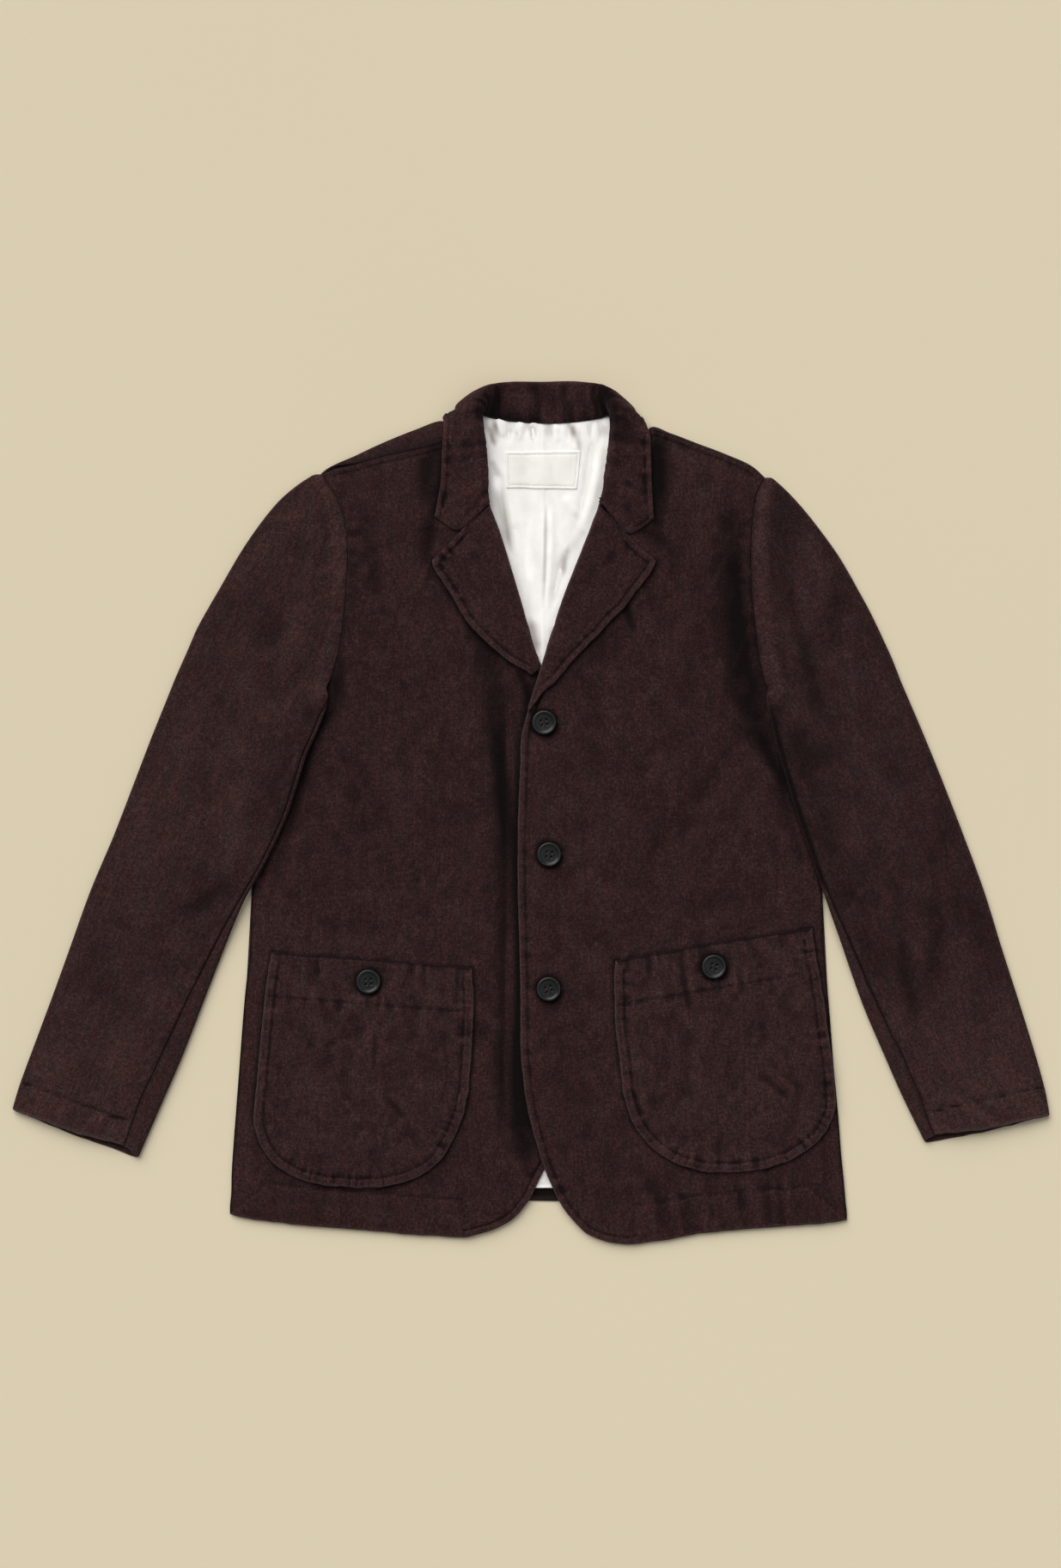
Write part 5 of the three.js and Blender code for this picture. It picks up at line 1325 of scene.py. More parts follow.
top_edge = spline([(-47, 352), (-43.5, 362), (-18, 357), (14, 354), (46, 357), (71.5, 360.5), (75, 352)], 1.5)
left_edge = spline([(75, 352)] + [(LINING_ROWS["rx"][i], LINING_ROWS["ry"][i]) for i in range(1, 12)], 2)
right_edge = spline([(LINING_ROWS["lx"][i], LINING_ROWS["ly"][i]) for i in range(11, 0, -1)] + [(-47, 352)], 2)
lining_line = Outline(
    [("top", top_edge), ("left", left_edge), ("hem", np.array([[259, -340.5], [-246, -340.5]], float)), ("right", right_edge)], 3.0)
shell("back_lining", lining_line, lambda x, y, d, s, side: lining_plain(x, y), 0.75, COTTON, ["back_lining"], h=6.5, under=14.0, tone=lining_tone_and_painted_shading,
      dense=(-62, 90, 96, 364, 1.75), gain=0.30,
      rims=(0.3, 0.8, 2.0, 4.5), radius=0.6, bottom=lambda x, y, d, s, side: lining_field(x, y) - 0.95 + 0 * d)

label_field = Field((-28, 288, 50, 334), 1.0)
label_field.Z = lining_plain(label_field.X, label_field.Y)
label_field.reach(2).blur(3.0)
label_line = Outline([("top", wavy([(-23.5, 327), (45, 328)], 0.3, 14, 51)), ("left", spline([(45, 328), (44, 316.5), (43, 305.5), (41.5, 293.5)], 1)),
                      ("bottom", wavy([(41.5, 293.5), (-22, 294.5)], 0.35, 17, 52)),
                      ("right", spline([(-22, 294.5), (-22.5, 305), (-23, 316), (-23.5, 327)], 1))], 1.2)


def label_top(x, y, d, s, side):
    z = label_field(x, y) + 0.75 + 0.3 * noise(x, y, 16, 55, 80, 1.5) * smooth(d / 8)
    return z - 0.28 * np.exp(-((d - 2.6) / 0.7) ** 2) + ladder(s, d, 2.6, 0.16, 5.0, 56)


shell("neck_label", label_line, label_top, 0.55, TAPE, ["neck_label"], h=1.5, under=4.0,
      rims=(0.2, 0.5, 1.0, 1.7, 2.2, 2.6, 3.1, 4.0), radius=0.45, gain=0.35)


# ---- what lies on the fronts: lapels and pockets ---------------------------------------------------------------------------
def over(front, box, reach=3.0, soften=2.5):
    f = Field(box, 1.5)
    f.Z = front["plain"](f.X, f.Y)
    return f.reach(reach).blur(soften)


def lapel_piece(name, t, front, box, seed):
    field = over(front, box)
    r = np.stack([t["rx"], t["ry"]], 1)
    o = np.stack([t["ox"], t["oy"]], 1)
    u = np.linspace(0, 1, 12)
    gorge = np.stack([lerp(r[0, 0], o[0, 0], u), lerp(r[0, 1], o[0, 1], u) + t["bow"][0] * 4 * u * (1 - u) + 1.25 * smooth((0.66 - u) / 0.2)], 1)
    line = Outline([("gorge", wavy(gorge, 0.25, 11, seed)), ("outer", wavy(spline(o, 1), 0.5, 12, seed + 1)),
                    ("break", np.array([o[-1], r[-1]])), ("roll", spline(r[::-1], 1))], 1.5)

    def lift(x, y):
        # distance in from the roll line, as a share of the lapel's width there
        k = np.argsort(t["ry"])
        rx = np.interp(y, t["ry"][k], t["rx"][k])
        w = np.interp(y, t["ry"][k], np.hypot(r[k, 0] - o[k, 0], r[k, 1] - o[k, 1]))
        sign = np.sign(o[0, 0] - r[0, 0])
        share = np.clip((x - rx) * sign / np.maximum(w, 8), 0, 1)
        return np.interp(y, t["ry"][k], t["lift"][k]) * 0.75 * (1 - share) ** 1.6

    folds = LAPEL_FOLDS[name]

    def top(x, y, d, s, side):
        z = field(x, y) + 2.4 + lift(x, y) + strokes(x, y, folds) + crinkles(x, y, 0.30, seed + 3) * smooth(d / 8)
        sewn = (side == line.names.index("outer")) | ((side == line.names.index("gorge")) & (np.abs(x - r[0, 0]) > 22))
        z = z + np.where(sewn, rib(d, 6.0, 0.8, 0.7) + ladder(s, d, 6.0, 0.75, 8.0, seed + 4), 0)
        at_roll = side == line.names.index("roll")
        return z - np.where(at_roll, 1.6 * (1 - np.sqrt(np.clip(1 - (1 - np.minimum(d / 4.5, 1)) ** 2, 0, 1))), 0)

    def under(x, y, d, s, side):
        return field(x, y) + 0.3 + 0 * d

    def tone(x, y, d, side):
        # painted shading: fold valleys darker, painted shade in the gorge seam by the collar, painted shade and light
        # along the stitching
        v = strokes(x, y, folds) / 5
        inner = np.abs(x - r[0, 0]) < 24
        gorge_on = side == line.names.index("gorge")
        v = v - np.where(gorge_on & inner, 0.6 * np.exp(-(d / 1.5) ** 2), 0)
        sewn = (side == line.names.index("outer")) | (gorge_on & ~inner)
        return v + np.where(sewn, stitch_painted_shading(line.near(x, y)[1], d, 6.0, 8.0, seed + 4, 0.9, 2.6), 0)

    shell(name, line, top, 2.0, CLOTH, [name], h=1.9, under=5.0, radius=0.95, bottom=under,
          angle=28 if "left" in name else -28, worn_and_rim_lit=("outer", "roll"),
          broad=lambda x, y: field(x, y) + lift(x, y) + strokes(x, y, wide(folds)),
          tone=tone)
    return {"line": line, "top": top, "z": lambda x, y: top(x, y, *line.near(x, y))}


LAPEL_FOLDS = {
    "lapel_right": [(560, 610, 566, 660, 588, 716, 9, -0.5, 1.9), (530, 650, 556, 680, 582, 730, 8, 0.5, 1.9),
                    (548, 640, 552, 650, 560, 664, 4, -0.4, 1.7)],
    "lapel_left": [(700, 612, 690, 660, 668, 716, 9, -0.5, 1.9), (736, 656, 706, 690, 680, 732, 8, 0.5, 1.9),
                   (716, 640, 710, 650, 700, 664, 4, -0.4, 1.7)]}
lapel_r = lapel_piece("lapel_right", LAPEL_RIGHT, right, (-95, 125, 12, 285), 500)
lapel_l = lapel_piece("lapel_left", LAPEL_LEFT, left, (-8, 86, 120, 285), 540)

POCKET_FOLDS = {
    "pocket_right": [
        (433, 1190, 429, 1220, 430, 1256, 3.0, 0.9, 1.6), (438, 1192, 436, 1222, 436, 1252, 2.6, -0.7, 1.6),
        (452, 1270, 466, 1282, 480, 1300, 2.6, 0.8, 1.6), (448, 1276, 462, 1290, 474, 1304, 2.4, -0.6, 1.6),
        (369, 1114, 370, 1126, 370, 1140, 2.4, -0.8, 1.6), (531, 1124, 532, 1150, 530, 1180, 2.8, -0.8, 1.6),
        (355, 1118, 356, 1130, 354, 1142, 2.2, 0.5, 1.6), (500, 1122, 500, 1136, 502, 1152, 2.6, 0.5, 1.6),
        (420, 1210, 380, 1214, 330, 1206, 7, -0.7, 1.8), (470, 1200, 500, 1212, 540, 1208, 6, -0.6, 1.8),
        (392, 1180, 396, 1170, 404, 1158, 2.8, -0.6, 1.6), (462, 1188, 456, 1172, 450, 1160, 2.8, -0.6, 1.6),
        (340, 1240, 360, 1290, 352, 1330, 9, 0.6, 1.9), (500, 1230, 504, 1280, 480, 1330, 10, 0.6, 1.9),
        (378, 1230, 400, 1262, 392, 1310, 8, -0.6, 1.9), (410, 1300, 440, 1324, 470, 1326, 7, -0.5, 1.9)],
    "pocket_left": [
        (729, 1113, 730, 1124, 728, 1136, 2.2, -0.8, 1.6), (739, 1111, 740, 1122, 739, 1134, 2.2, 0.7, 1.6),
        (755, 1110, 756, 1122, 754, 1136, 2.4, -0.8, 1.6), (770, 1107, 771, 1118, 770, 1132, 2.4, 0.7, 1.6),
        (797, 1104, 803, 1136, 813, 1178, 3.6, 1.2, 1.6), (791, 1108, 796, 1142, 804, 1186, 3.2, -1.0, 1.6),
        (889, 1238, 906, 1256, 927, 1271, 3.2, 0.9, 1.6), (884, 1246, 900, 1264, 920, 1280, 3.0, -0.7, 1.6),
        (849, 1330, 856, 1340, 867, 1350, 3.0, 0.7, 1.6), (742, 1262, 748, 1282, 759, 1302, 3.0, 0.8, 1.6),
        (736, 1266, 742, 1286, 752, 1304, 2.8, -0.6, 1.6), (850, 1170, 856, 1160, 866, 1148, 3.0, -0.6, 1.6),
        (780, 1220, 800, 1250, 796, 1300, 9, -0.7, 1.9), (862, 1190, 900, 1200, 940, 1184, 8, -0.7, 1.9),
        (830, 1250, 846, 1280, 840, 1320, 9, 0.6, 1.9), (930, 1150, 934, 1200, 940, 1260, 8, 0.6, 1.9),
        (748, 1180, 752, 1210, 750, 1240, 6, -0.5, 1.9)]}


def pocket_piece(name, t, front, box, seed, angle):
    field = over(front, box, 4.0, 3.5)
    l = np.stack([t["lx"], t["ly"]], 1)
    r = np.stack([t["rx"], t["ry"]], 1)
    mouth = wavy(np.array([l[0], (l[0] + r[0]) / 2 + [0, 0.9], r[0]]), 0.45, 15, seed)
    bag = np.concatenate([r, l[::-1]])
    line = Outline([("mouth", mouth), ("bag", wavy(spline(bag, 1), 0.45, 11, seed + 1))], 1.5)
    a = (r[0] - l[0]) / np.linalg.norm(r[0] - l[0])
    down = np.array([a[1], -a[0]])
    folds = POCKET_FOLDS[name]

    def top(x, y, d, s, side):
        depth = (x - l[0, 0]) * down[0] + (y - l[0, 1]) * down[1]
        along = (x - l[0, 0]) * a[0] + (y - l[0, 1]) * a[1]
        z = field(x, y) + 1.9 + 0.9 * smooth(d / 55) + 0.9 * strokes(x, y, folds) + crinkles(x, y, 0.78, seed + 3) * smooth(d / 10)
        z = z - 0.45 * np.exp(-((depth - 39) / 1.2) ** 2) * smooth(d / 6) + 0.3 * (1 - smooth((depth - 37) / 3)) * smooth(d / 4)
        z = z + ladder(along, np.abs(depth - 39), 1.0, 0.42, 9.0, seed + 9, 7.0) * smooth(d / 8)
        bag_side = side == line.names.index("bag")
        z = z + np.where(bag_side, rib(d, 8.6, 0.75, 0.8) + ladder(s, d, 8.6, 0.70, 6.6, seed + 4), 0)
        return z + np.where(~bag_side, ladder(s, d, 4.0, 0.35, 12.0, seed + 5, 3.0) + 0.3 * np.exp(-(d / 2.5) ** 2), 0)

    def tone(x, y, d, side):
        # painted shading: fold valleys darker, painted shade along the hem stitching, its puckers and the bag's
        # stitching, a dark painted line along the mouth's edge, a painted shadow ring round the button; plus faint
        # random tone
        depth = (x - l[0, 0]) * down[0] + (y - l[0, 1]) * down[1]
        along = (x - l[0, 0]) * a[0] + (y - l[0, 1]) * a[1]
        v = strokes(x, y, folds) / 7.0 + 0.10 * noise(x, y, 9, seed + 20, 60, 2.5) + 0.08 * noise(x, y, 6, seed + 21, 130, 2.5) - 0.25 * np.exp(-((depth - 39) / 1.1) ** 2) * smooth(d / 6)
        v = v + 0.5 * ladder(along, np.abs(depth - 39), 1.0, 1.0, 9.0, seed + 9, 5.0) * smooth(d / 8)
        bag_side = side == line.names.index("bag")
        s = line.near(x, y)[1]
        return v + np.where(bag_side, stitch_painted_shading(s, d, 8.6, 6.6, seed + 4), 0.4 * ladder(s, d, 4.0, 1.0, 12.0, seed + 5, 2.0) - 1.2 * np.exp(-(d / 1.3) ** 2)) + button_painted_shadow(x, y)

    (bx, by), = [(b[1], b[2]) for b in BUTTONS if b[3] == name]
    ring = np.linspace(0, 2 * math.pi, 40)
    ring = np.stack([bx + 11.3 * np.cos(ring), by + 11.3 * np.sin(ring)], 1)

    # painted shadow ring round the button
    def button_painted_shadow(x, y):
        return beside(x, y, ring, 2.6, -1.1)

    shell(name, line, top, 1.25, CLOTH_POCKET_PAINTED_LIGHTER, [name], h=2.0, under=6.0, radius=0.7, angle=angle, tone=tone, worn_and_rim_lit=("bag",),
          broad=lambda x, y: field(x, y) + 0.9 * strokes(x, y, wide(folds)),
          bottom=lambda x, y, d, s, side: field(x, y) + 0.3 + 0 * d)
    return {"line": line, "top": top, "z": lambda x, y: top(x, y, *line.near(x, y)), "l0": l[0], "a": a, "down": down, "l": l, "r": r}


pocket_r = pocket_piece("pocket_right", POCKET_RIGHT, right, (-256, -345, -46, -120), 600, 2.0)
pocket_l = pocket_piece("pocket_left", POCKET_LEFT, left, (70, -331, 282, -98), 640, -6.0)

# ---- collar ------------------------------------------------------------------------------------------------------------------
collar_right = COLLAR_RIGHT.copy()
for k, f in ((5, (-46.0, 357.0)), (6, (-43.0, 359.0)), (7, (-34.5, 357.0)), (8, (-15.6, 354.0))):
    collar_right[k, 15:17] = f


def mirrored(r, about=14.0):
    q = r.copy()
    q[0::3] = 2 * about - q[0::3]
    return q


far = np.array([mirrored(r) for r in collar_right[4:][::-1]])
far[1, 6:9] = 75.3, 380.2, 7
far[2, 3:9] = 91.5, 360.5, 0.5, 93.6, 366.8, 7.5
far[3, 0:6] = 101.2, 354.8, 4.6, 98.4, 360.2, 9
far[4, 0:6] = 107.0, 344.5, 9.8, 97.8, 350.5, 12.4
stations = np.concatenate([collar_right, COLLAR_MID, far, COLLAR_LEFT_FRONT[::-1]])
C = refine(stations.reshape(len(stations), 6, 3), 1.9, 1.7)
du, dv = np.gradient(C, axis=0), np.gradient(C, axis=1)
N = np.cross(du, dv)
N /= np.maximum(np.linalg.norm(N, axis=2), 1e-9)[:, :, None]
le = np.concatenate([np.zeros((C.shape[0], 1)), np.cumsum(np.linalg.norm(np.diff(C, axis=1), axis=2), axis=1)], axis=1)
ls = np.concatenate([np.zeros((1, C.shape[1])), np.cumsum(np.linalg.norm(np.diff(C, axis=0), axis=2), axis=0)], axis=0)
ends = np.minimum(ls, ls[-1:] - ls)
mid_len = ls[:, :1] * np.ones_like(ls)
rise = rib(le, 6.0, 0.75, 0.7) + ladder(mid_len, le, 6.0, 0.85, 8.0, 700)
rise = rise + np.where(le < le[:, -1:] * 0.5, rib(ends, 5.5, 0.35, 0.4) * smooth((le[:, -1:] * 0.36 - le) / 8), 0)
rise = rise + 0.21 * noise(mid_len, le, 17, 710, 20, 1.4) + 0.12 * noise(mid_len, le, 8, 711, 70, 1.3)
stand = 1 - smooth((le[:, -1:] - le - 34) / 8)
rise = rise + stand * (0.42 * noise(mid_len, le, 3.6, 712, 90, 5.0) + 0.36 * noise(mid_len, le, 6.5, 713, 86, 3.0))
tips = smooth(ends / 3)
C = C - N * (rise * tips)[:, :, None]
C[:, :, 2] = np.maximum(C[:, :, 2], 0.05)
C[:, :, 1] = np.where(C[:, :, 1] > 381, 381 + (C[:, :, 1] - 381) * 0.74, C[:, :, 1])
# painted shading from the collar's small relief, painted shade and light along the stitching and along the stand's end,
# and random tone on the stand
collar_tone_and_painted_shading = 0.12 + np.clip(rise / 0.9, -1, 1) * 0.6 + np.where(le < le[:, -1:] * 0.5, stitch_painted_shading(mid_len, le, 6.0, 8.0, 700, 1.2, 3.2) + stitch_painted_shading(mid_len, ends, 5.5, 8.0, 705, 1.2, 2.8) * (le > 4) * smooth((le[:, -1:] * 0.36 - le) / 8), 0) - 0.7 * stand * np.exp(-((le[:, -1:] - le) / 3.0) ** 2) + stand * (0.85 * noise(mid_len, le, 5.5, 715, 88, 5.0) + 0.40 * noise(mid_len, le, 14, 716, 80, 2.5))
# painted shade at the stand's corners, where it turns into the fall at either side of the neck
for corner in (-40.5, 68.5):
    near = np.exp(-(((C[:, :, 0] - corner) / 12) ** 2)) * smooth((C[:, :, 1] - 348) / 8) * smooth((386 - C[:, :, 1]) / 14) * stand
    collar_tone_and_painted_shading = collar_tone_and_painted_shading - 1.3 * near
sheet_shell("collar", C, 2.0, 1, CLOTH, ["collar"], radius=1.0, tone=collar_tone_and_painted_shading)

# ---- sleeves ----------------------------------------------------------------------------------------------------------------
SLEEVE_R, CROWN, BACK_SEAM_IN = 2.8, 2.3, 15.0
back_line = Outline([("top", np.array([[-191, 307], [-105, 340], [-60, 343], [80, 342], [108, 346], [212, 304.5]], float)),
                     ("left", spline(np.stack([BACK["rx"], BACK["ry"]], 1), 2)),
                     ("hem", np.array([[286, -368.5], [7, -352], [-273, -363]], float)),
                     ("right", spline(np.stack([BACK["lx"], BACK["ly"]], 1)[::-1], 2))], 3.0)

SLEEVE_FOLDS = {
    "sleeve_right": [
        (346, 600, 349, 645, 344, 690, 7, -1.0, 1.8), (366, 580, 372, 620, 366, 668, 6, 0.9, 1.8),
        (330, 640, 320, 720, 330, 800, 14, -0.9, 1.9), (300, 760, 280, 850, 262, 930, 15, 0.9, 1.9),
        (262, 820, 240, 900, 222, 980, 13, -0.8, 1.9), (352, 830, 330, 900, 300, 970, 9, -0.9, 1.8),
        (366, 760, 340, 800, 300, 830, 9, -1.2, 1.8), (350, 730, 320, 762, 288, 776, 8, 0.9, 1.8),
        (250, 1000, 226, 1080, 190, 1160, 12, -0.8, 1.9), (196, 960, 170, 1050, 146, 1130, 13, 0.8, 1.9),
        (150, 1040, 128, 1120, 100, 1200, 12, -0.8, 1.9), (110, 1180, 96, 1220, 92, 1258, 8, 0.7, 1.8),
        (210, 1150, 180, 1210, 160, 1270, 7, -0.7, 1.8), (276, 1010, 240, 1050, 200, 1064, 7, -0.8, 1.8),
        (230, 760, 212, 830, 190, 890, 11, -0.6, 1.9), (60, 1200, 66, 1230, 58, 1262, 6, -0.6, 1.8),
        (396, 560, 384, 566, 370, 560, 4, -0.7, 1.6), (400, 590, 388, 592, 374, 584, 3.6, 0.6, 1.6),
        (402, 622, 388, 628, 372, 624, 4, -0.6, 1.6), (393, 660, 380, 668, 366, 668, 4, 0.5, 1.6)],
    "sleeve_left": [
        (896, 600, 900, 650, 892, 720, 7, -0.9, 1.8), (920, 620, 932, 700, 930, 780, 13, 0.9, 1.9),
        (950, 700, 968, 790, 990, 880, 14, -0.8, 1.9), (905, 780, 930, 810, 968, 826, 9, -1.2, 1.8),
        (912, 748, 940, 772, 976, 780, 8, 0.9, 1.8), (925, 860, 950, 930, 984, 990, 10, -0.9, 1.8),
        (1010, 900, 1034, 980, 1060, 1060, 14, 0.8, 1.9), (1035, 1020, 1044, 1036, 1051, 1052, 4, -0.7, 1.6),
        (1047, 1078, 1054, 1130, 1060, 1188, 6, -1.0, 1.7), (1084, 1026, 1086, 1090, 1080, 1156, 9, -1.1, 1.8),
        (1100, 1040, 1112, 1110, 1116, 1170, 10, 0.8, 1.9), (970, 1020, 1000, 1050, 1040, 1064, 7, -0.8, 1.8),
        (1120, 1130, 1140, 1190, 1150, 1250, 9, -0.7, 1.8), (1160, 1150, 1176, 1210, 1184, 1262, 8, 0.7, 1.8),
        (1104, 1274, 1126, 1292, 1148, 1312, 3.4, 0.9, 1.6), (1114, 1268, 1136, 1286, 1158, 1306, 3.0, -0.8, 1.6),
        (1162, 1280, 1170, 1292, 1178, 1304, 3.0, 0.8, 1.6), (1092, 1284, 1104, 1296, 1118, 1312, 3.0, -0.7, 1.6),
        (876, 556, 888, 560, 902, 556, 4, -0.7, 1.6), (872, 590, 886, 592, 900, 586, 3.6, 0.6, 1.6)]}


SLEEVE_SHADE = {
    "sleeve_right": [
        [(348, 580, 7, -0.08), (351, 620, 10, -0.22), (349, 660, 10, -0.25), (342, 710, 9, -0.10)],
        [(380, 700, 12, -0.10), (376, 760, 14, -0.22), (362, 820, 12, -0.26), (340, 900, 11, -0.20), (312, 970, 10, -0.10)],
        [(262, 820, 14, -0.04), (240, 900, 17, -0.10), (222, 980, 14, -0.04)],
        [(276, 1010, 8, -0.08), (240, 1050, 9, -0.14), (200, 1064, 8, -0.04)],
        [(232, 1130, 8, -0.08), (200, 1196, 9, -0.16), (168, 1270, 8, -0.14)]],
    "sleeve_left": [
        [(892, 782, 6, -0.12), (900, 804, 10, -0.48), (906, 828, 7, -0.15)],
        [(905, 640, 8, -0.04), (915, 670, 6, -0.14), (924, 716, 6.5, -0.38), (935, 758, 7, -0.42), (946, 800, 8, -0.34), (956, 836, 7, -0.10)],
        [(890, 700, 9, -0.10), (900, 790, 10, -0.22), (925, 870, 11, -0.26), (952, 940, 11, -0.22), (980, 1010, 10, -0.10)],
        [(1046, 1070, 6, -0.10), (1053, 1120, 8, -0.34), (1058, 1160, 8, -0.36), (1066, 1210, 7, -0.15)],
        [(1084, 1020, 9, -0.08), (1087, 1080, 11, -0.26), (1081, 1160, 10, -0.12)],
        [(1033, 1016, 4, -0.10), (1043, 1036, 6, -0.30), (1053, 1056, 4, -0.10)],
        [(1010, 900, 14, -0.03), (1034, 980, 17, -0.09), (1060, 1060, 14, -0.03)]]}


def sleeve_base(front, sign):
    """How high the sleeve's underside lies: on the surface, on the back, and over the front's edge."""
    box = (-480, -330, -150, 320) if sign < 0 else (190, -330, 480, 320)
    low, high = Field(box, 3.0), Field(box, 3.0)
    x, y = low.X.ravel(), low.Y.ravel()
    on = back_line.inside(x, y)
    d, _, _ = back_line.near(x, y)
    low.Z = np.where(on, 2.1, 2.1 * (1 - smooth((d - 3) / 15))).reshape(low.X.shape)
    on = front["line"].inside(x, y)
    d, s, side = front["line"].near(x, y)
    z = front["plain"](x, y)
    f = np.where(on, z + 0.9, (z + 0.9) * (1 - smooth((d - 3) / 22)))
    high.Z = np.maximum(low.Z, f.reshape(low.X.shape))
    return low.blur(2), high.reach(3).blur(3)


def sleeve_rows(t):
    """The table's rows with one more between each two, as (row number, values)."""
    mid = np.stack([(t["ox"] + t["ix"]) / 2, (t["oy"] + t["iy"]) / 2], 1)
    k = np.arange(len(mid), dtype=float)
    V = np.stack([t["ox"], t["oy"], t["ix"], t["iy"]], 1)
    L = np.maximum(np.linalg.norm(np.diff(V, axis=0), axis=1), 1)
    knots = np.r_[0, np.cumsum(L**0.75)]
    out = []
    wanted = [0, 0.35, 0.7, 1, 1.5, 2, 2.5, 3, 3.5, 4, 4.5, 5, 5.5, 6, 6.5, 7, 8, 9, 10] + list(np.arange(10.5, 20.1, 0.5))
    for w in wanted:
        q = hermite(knots, V, np.array([np.interp(w, k, knots)]))[0]
        out.append((w, *q, np.interp(w, k, t["seam"]) if w != 9 else -1.0, np.interp(w, k, t["back"])))
    return out


def sleeve_piece(which, t, front, table, sign):
    low, high = sleeve_base(front, sign)
    upper, under, top_cols = [], [], None
    arm = table["zB"]
    for w, ox, oy, ix, iy, seam, start in sleeve_rows(t):
        W = math.hypot(ox - ix, oy - iy)
        dx, dy = (ox - ix) / W, (oy - iy) / W
        R = min(SLEEVE_R, W / 3)
        open_row = w <= 8
        base = low if open_row else high
        z0 = lambda s: base(ix + dx * s, iy + dy * s)
        place = lambda s, z: np.stack([ix + dx * s, iy + dy * s, z], 1)

        def top_z(s):
            z = z0(s) + 2 * R + CROWN * smooth(np.minimum(s, W - s) / 34) * min(1, W / 60)
            if open_row:
                a = np.interp(min(w, 7), np.arange(len(arm)), arm) + (2.2 * (w - 7) if w > 7 else 0)
                z = lerp(a, z, smooth(s / 18))
            return z

        def around(s0, sg, ang):
            a = np.asarray(ang) * math.pi
            return place(s0 + sg * R * np.sin(a), z0(s0 + sg * R * 0.7 + 0 * a) + R + R * np.cos(a))

        cut = min(BACK_SEAM_IN, W * 0.4)
        s0 = 0.4 if open_row else max(seam, 3.2) + 0.45
        T = np.r_[0, 0.35, 0.8, 1.5, 2.6, 4.2][:, None].ravel()
        T = np.r_[T / 140, np.linspace(6.5 / 140, 1, 48)]
        s = lerp(s0, W - R - 0.4, T)
        u = [place(s, top_z(s)), around(W - R, 1, np.linspace(0.12, 0.92, 9)),
             place(np.linspace(W - R, W - cut, 6), z0(np.linspace(W - R, W - cut, 6)))]
        if w == 9:
            u[0][:4] = around(R, -1, np.linspace(0.45, 0.15, 4))
        upper.append(np.concatenate(u))
        s1 = start if open_row else R
        s2 = W - cut - 0.4
        s = lerp(s2, min(s1 + (4 if open_row else 0), s2 - 1), np.linspace(0, 1, 16) ** 0.8)
        n = [place(s, z0(s))]
        if open_row:
            dd = np.linspace(3.6, 0, 12)
            q = np.minimum(s1 + dd, s2 - 2 + 0.2 * dd)
            n.append(place(q, z0(s1 + dd)))
        elif w == 9:
            n.append(around(R, -1, np.linspace(0.98, 0.70, 12)))
        else:
            n.append(around(R, -1, np.linspace(0.94, 0.1, 8)))
            q = np.linspace(R + 0.1, max(seam, 3.2), 5)[1:]
            n.append(place(q, top_z(q)))
        under.append(np.concatenate(n))
    upper, under = np.array(upper), np.array(under)
    nt = 54

    def rows_of(G):
        L = np.maximum(np.linalg.norm(np.diff(G, axis=0), axis=2).mean(1), 0.05)
        k = np.r_[0, np.cumsum(L**0.75)]
        return hermite(k, G.reshape(len(G), -1), spread(k, L, 1.95)).reshape(-1, G.shape[1], 3)

    U, D = rows_of(upper), rows_of(under)
    folds = SLEEVE_FOLDS[which]
    end = (t["ox"][-1] - t["ix"][-1], t["oy"][-1] - t["iy"][-1])
    w_end = math.hypot(*end)
    out_dir = np.array([end[1], -end[0]]) / w_end
    if out_dir[1] > 0:
        out_dir = -out_dir

    def relief_and_painted_shading(G, cols, tones):
        X, Y = G[:, :cols, 0], G[:, :cols, 1]
        lr = np.cumsum(np.r_[np.zeros((1, cols)), np.linalg.norm(np.diff(G[:, :cols], axis=0), axis=2)], axis=0)
        lc = np.cumsum(np.c_[np.zeros(len(G)), np.linalg.norm(np.diff(G[:, :cols], axis=1), axis=2)], axis=1)
        cuff = lr[-1:] - lr
        fade = smooth(lc / 10) * smooth((lc[:, -1:] - lc) / 10) * smooth(lr / 8 + 0.1)
        bends = strokes(X.ravel(), Y.ravel(), folds).reshape(X.shape) * fade
        z = 1.6 * bends + crinkles(X, Y, 0.5, 800 + sign) * fade
        first = z.copy()
        armed = smooth((X * 0 + Y - 90) / 20)
        z = z + armed * (ladder(lr, lc, 6, 0.55, 12, 820, 1.6) * smooth(lc / 3) - 0.3 * np.exp(-(lc / 1.6) ** 2) + 0.8 * np.exp(-((lc - 9) / 6.5) ** 2))
        z = z + (1 - armed) * (ladder(lr, lc, 4, 0.30, 12, 825, 1.5) - 0.35 * np.exp(-(lc / 1.4) ** 2))
        z = z - 0.55 * np.exp(-((cuff - 27) / 1.5) ** 2) * smooth(lc / 4) + 0.30 * (1 - smooth((cuff - 25) / 3))
        band = smooth((cuff - 1) / 4) * smooth((31 - cuff) / 5) * smooth(lc / 6)
        pucker = 0.8 * noise(lc + 0.15 * cuff, cuff * 0.35, 6.0, 836 + sign) + 0.6 * noise(lc + 0.5 * cuff, cuff * 0.5, 10, 838 + sign)
        z = z + ladder(lc, cuff, 24, 0.38, 13, 830 + sign, 0.6) + ladder(lc, np.abs(cuff - 4), 1, 0.35, 9, 835 + sign, 5) + 0.50 * band * np.clip(pucker, -0.5, 0.5)
        seam = np.exp(-(lc / 1.5) ** 2)
